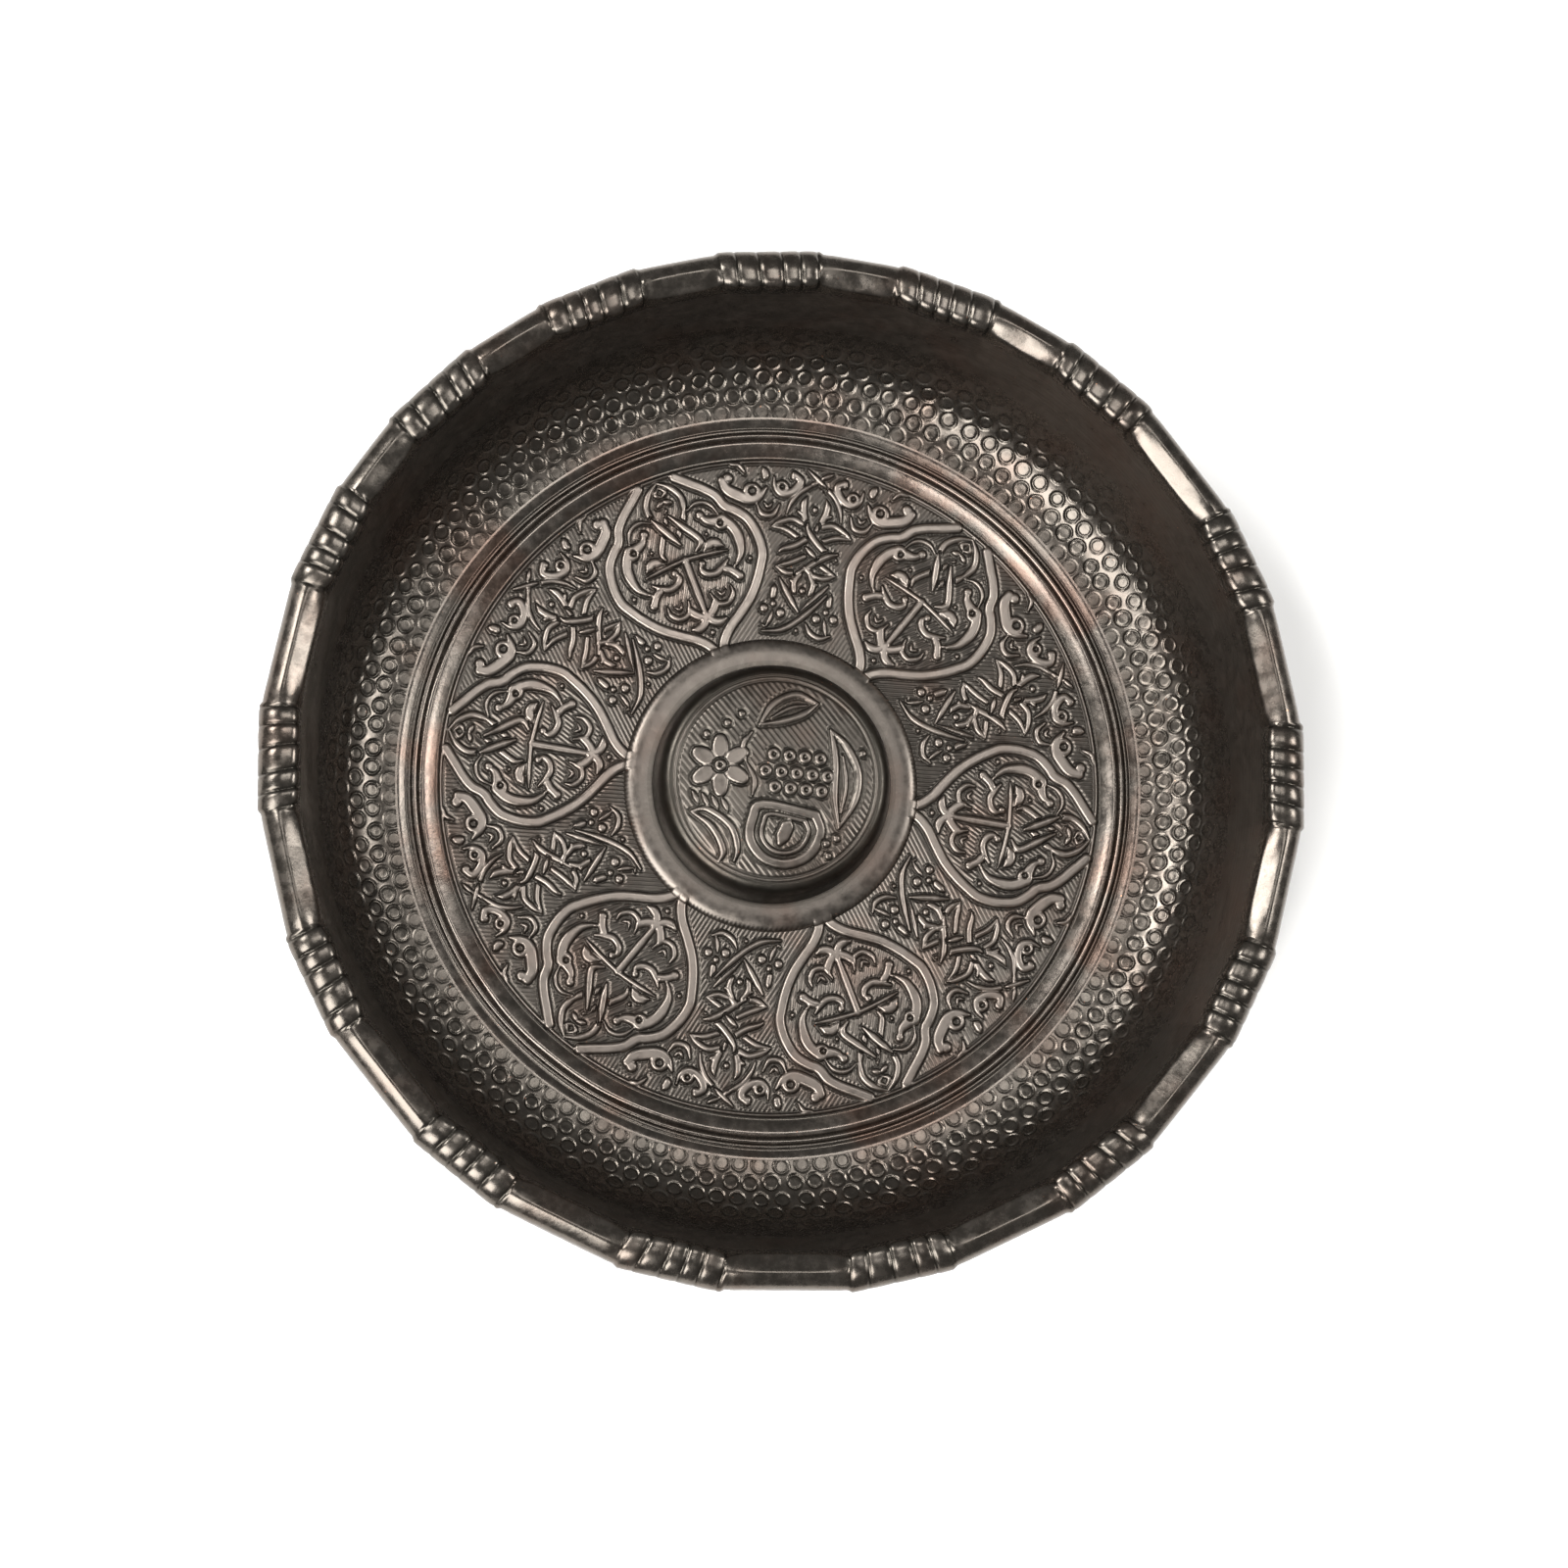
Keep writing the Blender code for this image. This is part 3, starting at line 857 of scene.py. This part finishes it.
def recalled(tree, name):
    """The value kept on the points under a name."""
    return add(tree, "GeometryNodeInputNamedAttribute", {"Name": name}, data_type="FLOAT").outputs[0]


def end_tree(tree, output, geometry, material):
    """Makes the geometry real, gives it its material and sends it out."""
    real = add(tree, "GeometryNodeRealizeInstances", {"Geometry": geometry}).outputs[0]
    painted = add(tree, "GeometryNodeSetMaterial", {"Geometry": real, "Material": material}).outputs[0]
    tree.links.new(painted, output.inputs[0])


def punch_tree():
    """Rows of ring punches round the belly: a groove round a slightly domed disc."""
    ends = ("Start", "Start Handle", "End Handle", "End")
    sockets = {end: "NodeSocketVector" for end in ends}
    sockets |= {"Rows": "NodeSocketInt", "Punches": "NodeSocketInt", "Seed": "NodeSocketInt"}
    lengths = ("First Row", "Row Gap", "Curve Length", "Radius", "Depth")
    sockets |= {length: "NodeSocketFloat" for length in lengths}
    sockets["Material"] = "NodeSocketMaterial"
    tree, given, output = node_tree("ring_punches", sockets)
    inputs = {end: given[end] for end in ends} | {"Resolution": 64}
    section = add(tree, "GeometryNodeCurvePrimitiveBezierSegment", inputs).outputs[0]
    index = add(tree, "GeometryNodeInputIndex").outputs[0]
    row = maths(tree, "FLOOR", maths(tree, "DIVIDE", index, given["Punches"]))
    column = maths(tree, "MODULO", index, given["Punches"])

    def jitter(low, high, draw):
        seed = maths(tree, "ADD", given["Seed"], draw)
        inputs = {2: low, 3: high, "ID": index, "Seed": seed}
        return add(tree, "FunctionNodeRandomValue", inputs, data_type="FLOAT").outputs[1]

    stagger = maths(tree, "MULTIPLY", maths(tree, "MODULO", row, 2.0), 0.5)
    place = maths(tree, "ADD", maths(tree, "ADD", column, stagger), jitter(-0.1, 0.1, 1))
    angle = maths(tree, "MULTIPLY", maths(tree, "DIVIDE", place, given["Punches"]), math.tau)
    run = maths(tree, "MULTIPLY_ADD", row, given["Row Gap"], given["First Row"])
    run = maths(tree, "ADD", run, jitter(-0.22 * MM, 0.22 * MM, 2))
    factor = maths(tree, "DIVIDE", run, given["Curve Length"])
    sample = add(tree, "GeometryNodeSampleCurve", {"Curves": section, "Factor": factor}, mode="FACTOR")
    inputs = {"Vector": sample.outputs["Position"], "Angle": angle}
    spot = add(tree, "ShaderNodeVectorRotate", inputs, rotation_type="Z_AXIS").outputs[0]
    count = maths(tree, "MULTIPLY", given["Rows"], given["Punches"])
    faint = add(tree, "ShaderNodeMapRange", {0: row, 1: 2.6, 2: 5.2, 3: 1.0, 4: 0.15}).outputs[0]
    first = add(tree, "ShaderNodeMapRange", {0: row, 1: 0.0, 2: 1.0, 3: 0.55, 4: 1.0}).outputs[0]
    faint = maths(tree, "MULTIPLY", faint, first)
    points = add(tree, "GeometryNodePoints", {"Count": count, "Position": spot}).outputs[0]
    points = stored(tree, points, "strength", maths(tree, "MULTIPLY", faint, jitter(0.65, 1.15, 3)))
    points = stored(tree, points, "spread", jitter(0.93, 1.07, 4))
    here = add(tree, "GeometryNodeInputPosition").outputs[0]
    search = {"Geometry": points, "Sample Position": here}
    nearest = add(tree, "GeometryNodeSampleNearest", search, domain="POINT").outputs[0]
    away = add(tree, "GeometryNodeProximity", search, target_element="POINTS").outputs["Distance"]

    def at_nearest(name):
        inputs = {"Geometry": points, "Value": recalled(tree, name), "Index": nearest}
        return add(tree, "GeometryNodeSampleIndex", inputs, data_type="FLOAT", domain="POINT").outputs[0]

    wide = maths(tree, "MULTIPLY", maths(tree, "MULTIPLY", given["Radius"], at_nearest("spread")), 2.0)
    share = maths(tree, "MINIMUM", maths(tree, "DIVIDE", away, wide), 1.0)
    disc = ((0, 0.28), (0.2, 0.26), (0.38, 0.34))
    groove = ((0.44, 0.7), (0.5, 1.0), (0.56, 0.6), (0.62, 0.05), (1, 0))
    cut = maths(tree, "MULTIPLY", shaped(tree, share, disc + groove), at_nearest("strength"))
    amount = maths(tree, "MULTIPLY", maths(tree, "MULTIPLY", cut, given["Depth"]), -1.0)
    # Painted shade: each ring's groove, and a little of its disc, is given a lower raise and so a darker
    # colour.
    raised = maths(tree, "SUBTRACT", PLAIN_FACE, maths(tree, "MULTIPLY", cut, 0.38))
    geometry = stored(tree, given["Geometry"], "raised", raised)
    end_tree(tree, output, moved_out(tree, geometry, amount), given["Material"])
    return tree


def flute_tree():
    """Round flutes with sharp creases between them, pressed over the roll at each crimp."""
    sockets = {"Depth": "NodeSocketFloat", "Material": "NodeSocketMaterial"}
    tree, given, output = node_tree("rim_flutes", sockets)
    across = maths(tree, "FRACT", recalled(tree, "flute"))
    folds = ((0, 1), (0.05, 0.62), (0.14, 0.2), (0.34, 0), (0.62, 0.06), (0.84, 0.28), (0.94, 0.65), (1, 1))
    crease = shaped(tree, across, folds)
    cut = maths(tree, "MULTIPLY", crease, recalled(tree, "grip"))
    amount = maths(tree, "MULTIPLY", cut, maths(tree, "MULTIPLY", given["Depth"], -1.0))
    # Painted shade in the creases: the colour darkens as far as each crease cuts in.
    raised = maths(tree, "SUBTRACT", recalled(tree, "rub_and_highlight"), maths(tree, "MULTIPLY", cut, 0.55))
    geometry = stored(tree, given["Geometry"], "raised", raised)
    end_tree(tree, output, moved_out(tree, geometry, amount), given["Material"])
    return tree


def run_tree(name, tree, points, fields, values, material):
    """The grid of points as the tree leaves it, and its 'raised' values."""
    rows, columns = points.shape[:2]
    mesh = bpy.data.meshes.new(name)
    mesh.from_pydata((points.reshape(-1, 3) * MM).tolist(), [], grid_quads(rows, columns).tolist())
    for label, numbers in fields.items():
        attribute = mesh.attributes.new(label, "FLOAT", "POINT")
        attribute.data.foreach_set("value", np.asarray(numbers, np.float32).ravel())
    holder = bpy.data.objects.new(name, mesh)
    bpy.context.scene.collection.objects.link(holder)
    modifier = holder.modifiers.new(name, "NODES")
    modifier.node_group = tree
    values = values | {"Material": material}
    for item in tree.interface.items_tree:
        if item.in_out == "INPUT" and item.name in values:
            modifier[item.identifier] = values[item.name]
    graph = bpy.context.evaluated_depsgraph_get()
    result = bpy.data.meshes.new_from_object(holder.evaluated_get(graph), depsgraph=graph)
    if len(result.vertices) != rows * columns:
        raise RuntimeError(f"{name}: the tree changed the number of points")
    moved = np.empty(rows * columns * 3, np.float32)
    result.vertices.foreach_get("co", moved)
    raised = np.empty(rows * columns, np.float32)
    result.attributes["raised"].data.foreach_get("value", raised)
    holder.modifiers.clear()
    bpy.data.objects.remove(holder)
    bpy.data.meshes.remove(mesh)
    bpy.data.meshes.remove(result)
    return moved.reshape(points.shape).astype(float) / MM, raised.reshape(rows, columns).astype(float)


# ---------------------------------------------------------------- the rim's fields


def swell(value, middle, spread):
    """One at the middle, dying away smoothly over the spread on both sides."""
    return np.exp(-(((value - middle) / spread) ** 2))


def crimp_offsets(angles):
    """The turn from each column to its nearest crimp."""
    turns = (np.asarray(angles)[:, None] - crimp_angles()[None, :] + math.pi) % math.tau - math.pi
    return turns[np.arange(len(angles)), np.abs(turns).argmin(axis=1)]


def flute_fields(angles, facing, lobes):
    """The count of flutes across its crimp at each place, a little uneven, and how firm the crimp is."""
    offset = crimp_offsets(angles)
    grip = np.clip((CRIMP_WIDTH / 2 + math.radians(0.35) - np.abs(offset)) / math.radians(0.5), 0, 1)
    uneven = 0.22 * np.cos(math.pi * offset / CRIMP_WIDTH) * np.sin(25 * angles)
    lean = 0.16 * np.sin(3 * angles + 1)[None, :] * (facing - 1.0)[:, None]
    return ((offset / CRIMP_WIDTH + 0.5) * lobes + uneven)[None, :] + lean, grip


def pinched_ends(angles):
    """One at the two ends of a crimp, where the roll is pinched, and nothing away from them."""
    return swell(np.abs(crimp_offsets(angles)), CRIMP_WIDTH / 2, math.radians(1.1))


def span_facet(angles, facing):
    """A flat along each plain span's inner shoulder, widest at its middle, and a faint hollow on top."""
    away = np.minimum(np.abs(facing - 0.85), 0.55)
    flat = (roll_radius() + SHEET / 2) * (math.cos(0.55) / np.cos(away) - 1)
    hollow = -0.12 * swell(facing, 1.8, 0.35)
    middle = np.clip((np.abs(crimp_offsets(angles)) - CRIMP_WIDTH / 2) / math.radians(4.5), 0, 1)
    return flat[:, None] * np.sqrt(middle)[None, :] + hollow[:, None] * (middle > 0)[None, :]


# ---------------------------------------------------------------- operators


class BOWL_OT_boss(bpy.types.Operator):
    """The raised centre with its stamped picture"""

    bl_idname = "bowl.boss"
    bl_label = "Centre boss"

    def execute(self, context):
        line = boss_section(BOSS_GRID[0])
        angles = ring_angles(math.tau * BOSS_EDGE_RADIUS / BOSS_GRID[1])
        lift, raised = stamped_boss(line, angles)
        # Die-stamped copper: an olive-brown skin deepened with painted shade, and a soft, dull shine.
        material = patinated_copper("stamped_copper_olive_patina", dark=0.35, rough=0.33)
        finish_piece("centre_boss", sheet_mesh("centre_boss", line, angles, True, lift, raised), material)
        return {"FINISHED"}


class BOWL_OT_floor(bpy.types.Operator):
    """Six stamped floor panels, each with one heart and the plants beside it"""

    bl_idname = "bowl.floor"
    bl_label = "Stamped floor"

    def execute(self, context):
        spacing = sizes().detail / MM
        line = floor_section(spacing)
        half = math.pi / SECTORS
        angles = span_angles(-half, half, 2 * half * FLOOR_RADIUS / spacing)
        lift, raised = stamped_floor(line, angles)
        # Die-stamped copper, worn: grey-brown satin on the strokes over a hatched ground that painted shade
        # makes near-black, with a little painted shade over the whole panel.
        material = patinated_copper("stamped_copper_brown_patina", dark=0.12, bloom=0.1, rough=0.33)
        for k in range(SECTORS):
            name = f"floor_panel_{k + 1}"
            turn = HEART_TURN - k * 2 * half
            finish_piece(name, sheet_mesh(name, line, angles, False, lift, raised, turn=turn), material)
        return {"FINISHED"}


class BOWL_OT_beads(bpy.types.Operator):
    """The round bead and the thin crest between the floor and the belly"""

    bl_idname = "bowl.beads"
    bl_label = "Bead rings"

    def execute(self, context):
        line = bead_section(BEAD_GRID[0])
        angles = ring_angles(math.tau * BELLY_RADIUS / BEAD_GRID[1])
        crown = (line[:, 1:] - GROUND) / BEAD_HEIGHT + 0 * angles[None, :]
        ripple = 0.05 * np.sin(7 * angles + 2) + 0.04 * np.sin(19 * angles)
        lift = crown * ripple[None, :] * (line[:, :1] < FLOOR_RADIUS + BEAD_WIDTH)
        # Spun copper with red oxide beside the bead, deepened with painted shade: brown-red patches and
        # long, sharp glints round it.
        material = patinated_copper("rolled_bead_copper", dark=0.28, bloom=0.35, rough=0.22)
        raised = np.clip(0.25 + 0.55 * crown, 0, 1)
        finish_piece("bead_rings", sheet_mesh("bead_rings", line, angles, True, lift, raised), material)
        return {"FINISHED"}


class BOWL_OT_belly(bpy.types.Operator):
    """The belly's three arcs, struck with rows of ring punches"""

    bl_idname = "bowl.belly"
    bl_label = "Ring-punched belly"
    ARCS = 3

    def execute(self, context):
        settings = sizes()
        line = belly_section(BELLY_GRID[0])
        across = across_section(line)
        values = {
            "Rows": PUNCH_ROWS,
            "Punches": settings.punches,
            "First Row": 1.0 * MM,
            "Row Gap": settings.row_gap,
            "Curve Length": length_along(line)[-1] * MM,
            "Radius": settings.punch_radius,
            "Depth": settings.punch_depth,
            "Seed": 11,
        }
        labels = ("Start", "Start Handle", "End Handle", "End")
        for label, point, side in zip(labels, belly_ends(), (0, 0, -1, -1)):
            radius, height = np.array(point) + across[side] * SHEET / 2
            values[label] = (radius * MM, 0.0, height * MM)
        tree = punch_tree()
        # Punched sheet, dark with painted shade that eases a little higher up: painted shade in each ring's
        # groove, and a bright broken glint in every ring.
        finish = {"dark": 0.38, "high": 0.2, "bloom": 0.2, "rough": 0.25}
        material = patinated_copper("punched_copper_patina_painted_shade", **finish)
        step = math.tau / self.ARCS
        for k in range(self.ARCS):
            name = f"punched_belly_{k + 1}"
            angles = span_angles(k * step, (k + 1) * step, step * BELLY_MIDDLE / BELLY_GRID[1])
            still = np.zeros((len(line), len(angles)))
            points = strip_points(line, angles, still + SHEET / 2)
            upper, raised = run_tree(name, tree, points, {}, values, material)
            finish_piece(name, sheet_mesh(name, line, angles, False, still, raised, upper=upper), material)
        return {"FINISHED"}


class BOWL_OT_wall(bpy.types.Operator):
    """The plain dark wall between the belly and the rim"""

    bl_idname = "bowl.wall"
    bl_label = "Side wall"

    def execute(self, context):
        line = wall_section(WALL_GRID[0])
        angles = ring_angles(math.tau * RIM_RADIUS / WALL_GRID[1])
        share = np.linspace(0, 1, len(line))[:, None]
        dents = 0.09 * np.sin(23 * angles + 1.1 * np.sin(5 * angles) + 6 * share)
        # Raised copper, never worn: a brown-black skin with a little painted shade, faint level lines and
        # hardly any glint.
        material = patinated_copper("raised_copper_black_patina", dark=0.12, rough=0.32, streaks=0.5)
        raised = np.full(dents.shape, PLAIN_BACK)
        mesh = sheet_mesh("side_wall", line, angles, True, dents * np.sin(math.pi * share), raised)
        finish_piece("side_wall", mesh, material)
        return {"FINISHED"}


class BOWL_OT_rim(bpy.types.Operator):
    """The rolled rim's three arcs, fluted at the crimps"""

    bl_idname = "bowl.rim"
    bl_label = "Crimped rim"
    ARCS = 3

    def execute(self, context):
        settings = sizes()
        line = roll_section(RIM_GRID[0])
        # Rolled copper, dark with painted shade, with a painted highlight on the roll's inner shoulder and
        # outer face, painted shade in the flutes' creases, and clear satin glints along the flutes and
        # flats.
        material = patinated_copper("rolled_copper_patina_painted_shade", dark=0.36, rough=0.24)
        tree = flute_tree()
        # Each of these runs with facing, which is the turn over the roll from the wall, in radians.
        facing = (length_along(line) - WALL_TOP) / roll_radius()
        over = np.interp(facing, (-0.4, 0.1, 2.1, 2.7, 4.2, 4.8), (0, 1, 1, 0.3, 0.3, 0))
        wide = 0.75 * swell(facing, 0.45, 0.5) + 0.5 * swell(facing, 2.7, 0.8)
        neck = -0.08 * swell(facing, 0.95, 0.2)
        # Painted highlight: an even rub, made lighter on the roll's inner shoulder and on its outer face.
        rub_and_highlight = 0.32 + 0.22 * np.cos(facing - 0.5) + 0.45 * swell(facing, 2.5, 0.6)
        step = math.tau / self.ARCS
        for k in range(self.ARCS):
            name = f"rolled_rim_{k + 1}"
            start = CRIMP_START + CRIMP_STEPS[0] / 2 + k * step  # the first begins between two crimps
            angles = span_angles(start, start + step, step * RIM_RADIUS / RIM_GRID[1])
            flute, grip = flute_fields(angles, facing, settings.lobes)
            lift = -PINCH_DEPTH * pinched_ends(angles)[None, :] * over[:, None]
            lift = lift + (wide + neck)[:, None] * grip[None, :]
            lift = lift + span_facet(angles, facing) * (1 - grip)[None, :]
            fields = {
                "flute": flute,
                "grip": grip[None, :] * over[:, None],
                "rub_and_highlight": np.broadcast_to(rub_and_highlight[:, None], lift.shape),
            }
            depth = {"Depth": settings.flute_depth}
            points = strip_points(line, angles, lift + SHEET / 2)
            upper, raised = run_tree(name, tree, points, fields, depth, material)
            mesh = sheet_mesh(name, line, angles, False, lift, np.clip(raised, 0, 1), upper=upper)
            finish_piece(name, mesh, material)
        return {"FINISHED"}


class BOWL_OT_wire(bpy.types.Operator):
    """The iron wire that the rim is rolled over"""

    bl_idname = "bowl.wire"
    bl_label = "Rim wire"

    def execute(self, context):
        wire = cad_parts["rim_wire"]
        wire.data.materials.clear()
        wire.data.materials.append(rusted_iron("drawn_iron_wire_rusted"))
        return {"FINISHED"}


class BOWL_OT_stage(bpy.types.Operator):
    """The pale floor, soft lights and the camera above the bowl"""

    bl_idname = "bowl.stage"
    bl_label = "Stage"

    ROOM_LIGHT = 0.36  # the strength of the plain light from all round
    # Name, turn clockwise from the back and rise above the floor in degrees, watts, side and distance.
    LIGHTS = (
        ("window_left", 228, 49, 38.0, 0.82, 1.4),
        ("window_top_left", 300, 46, 18.0, 0.45, 1.4),
        ("window_right", 82, 43, 11.0, 0.4, 1.4),
        ("lamp_above", 18, 76, 0.8, 0.16, 0.64),
    )
    FLOOR_HALF, FLOOR_DROP = 3.0, 0.0005  # the floor's half width, and its gap below the bowl
    TILT = math.radians(10.2)  # how far the camera leans from straight above
    LEAN = (-0.62, -0.785)  # the way it leans, as shares of X and Y
    LENS, SENSOR = 97.1, 36  # millimetres
    SHIFT = (-0.0037, -0.0142)  # as shares of the frame's width

    def execute(self, context):
        scene = context.scene
        self.add_floor(scene)
        world = bpy.data.worlds.new("soft_room")
        world.use_nodes = True
        backdrop = world.node_tree.nodes["Background"]
        backdrop.inputs["Color"].default_value = (0.88, 0.88, 0.87, 1)
        backdrop.inputs["Strength"].default_value = self.ROOM_LIGHT
        scene.world = world
        for name, turn, rise, power, size, away in self.LIGHTS:
            light = bpy.data.lights.new(name, "AREA")
            light.energy, light.size = power, size
            holder = bpy.data.objects.new(name, light)
            turned, raised = math.radians(90 - turn), math.radians(rise)
            level = math.cos(raised)
            toward = Vector((math.cos(turned) * level, math.sin(turned) * level, math.sin(raised)))
            holder.location = toward * away
            holder.rotation_euler = toward.to_track_quat("Z", "Y").to_euler()
            scene.collection.objects.link(holder)
        scene.view_settings.view_transform = "Standard"
        self.add_camera(scene)
        return {"FINISHED"}

    def add_floor(self, scene):
        """A table painted matt white, wider than the view: pale, faintly clouded and without a glint."""
        mesh = bpy.data.meshes.new("pale_floor")
        half, level = self.FLOOR_HALF, -self.FLOOR_DROP
        corners = [(-half, -half, level), (half, -half, level), (half, half, level), (-half, half, level)]
        mesh.from_pydata(corners, [], [(0, 1, 2, 3)])
        material = bpy.data.materials.new("matt_white_table")
        material.use_nodes = True
        tree = material.node_tree
        shader = tree.nodes["Principled BSDF"]
        place = add(tree, "ShaderNodeTexCoord").outputs["Object"]
        tint = blended(tree, cloud(tree, place, 60, 2), (*colours().table, 1), (*linear(CLOUD_COLOUR), 1))
        tree.links.new(tint, shader.inputs["Base Color"])
        shader.inputs["Roughness"].default_value = 0.85
        mesh.materials.append(material)
        floor = bpy.data.objects.new("pale_floor", mesh)
        scene.collection.objects.link(floor)

    def add_camera(self, scene):
        """A long lens above the rim, leaning a little to the front left, with +Y up in its view."""
        out = math.sin(self.TILT)
        back = Vector((self.LEAN[0] * out, self.LEAN[1] * out, math.cos(self.TILT))).normalized()
        right = Vector((0, 1, 0)).cross(back).normalized()
        camera = bpy.data.cameras.new("camera")
        camera.sensor_width = self.SENSOR
        camera.lens = self.LENS
        camera.shift_x, camera.shift_y = self.SHIFT
        holder = bpy.data.objects.new("camera", camera)
        turn = Matrix((right, back.cross(right), back)).transposed().to_4x4()
        centre = Vector((0, 0, HEIGHT * MM))
        holder.matrix_world = Matrix.Translation(centre + back * sizes().camera_distance) @ turn
        scene.collection.objects.link(holder)
        scene.camera = holder


STEPS = (BOWL_OT_stage, BOWL_OT_boss, BOWL_OT_floor, BOWL_OT_beads)
STEPS += (BOWL_OT_belly, BOWL_OT_wall, BOWL_OT_rim, BOWL_OT_wire)


class BOWL_PT_sidebar(bpy.types.Panel):
    """The bowl's sizes, colours and building steps"""

    bl_idname = "BOWL_PT_sidebar"
    bl_label = "Dark copper wash bowl"
    bl_space_type = "VIEW_3D"
    bl_region_type = "UI"
    bl_category = "Bowl"

    def draw(self, context):
        for group in (context.scene.bowl_sizes, context.scene.bowl_colours):
            box = self.layout.box()
            for name in group.__annotations__:
                box.prop(group, name)
        for step in STEPS:
            self.layout.operator(step.bl_idname)


CLASSES = (BowlSizes, BowlColours, *STEPS, BOWL_PT_sidebar)


def register():
    for kind in CLASSES:
        bpy.utils.register_class(kind)
    bpy.types.Scene.bowl_sizes = PointerProperty(type=BowlSizes)
    bpy.types.Scene.bowl_colours = PointerProperty(type=BowlColours)


def unregister():
    del bpy.types.Scene.bowl_colours
    del bpy.types.Scene.bowl_sizes
    for kind in reversed(CLASSES):
        bpy.utils.unregister_class(kind)


def main():
    register()
    for step in STEPS:
        getattr(bpy.ops.bowl, step.bl_idname.split(".")[1])()


if __name__ == "__main__":
    main()
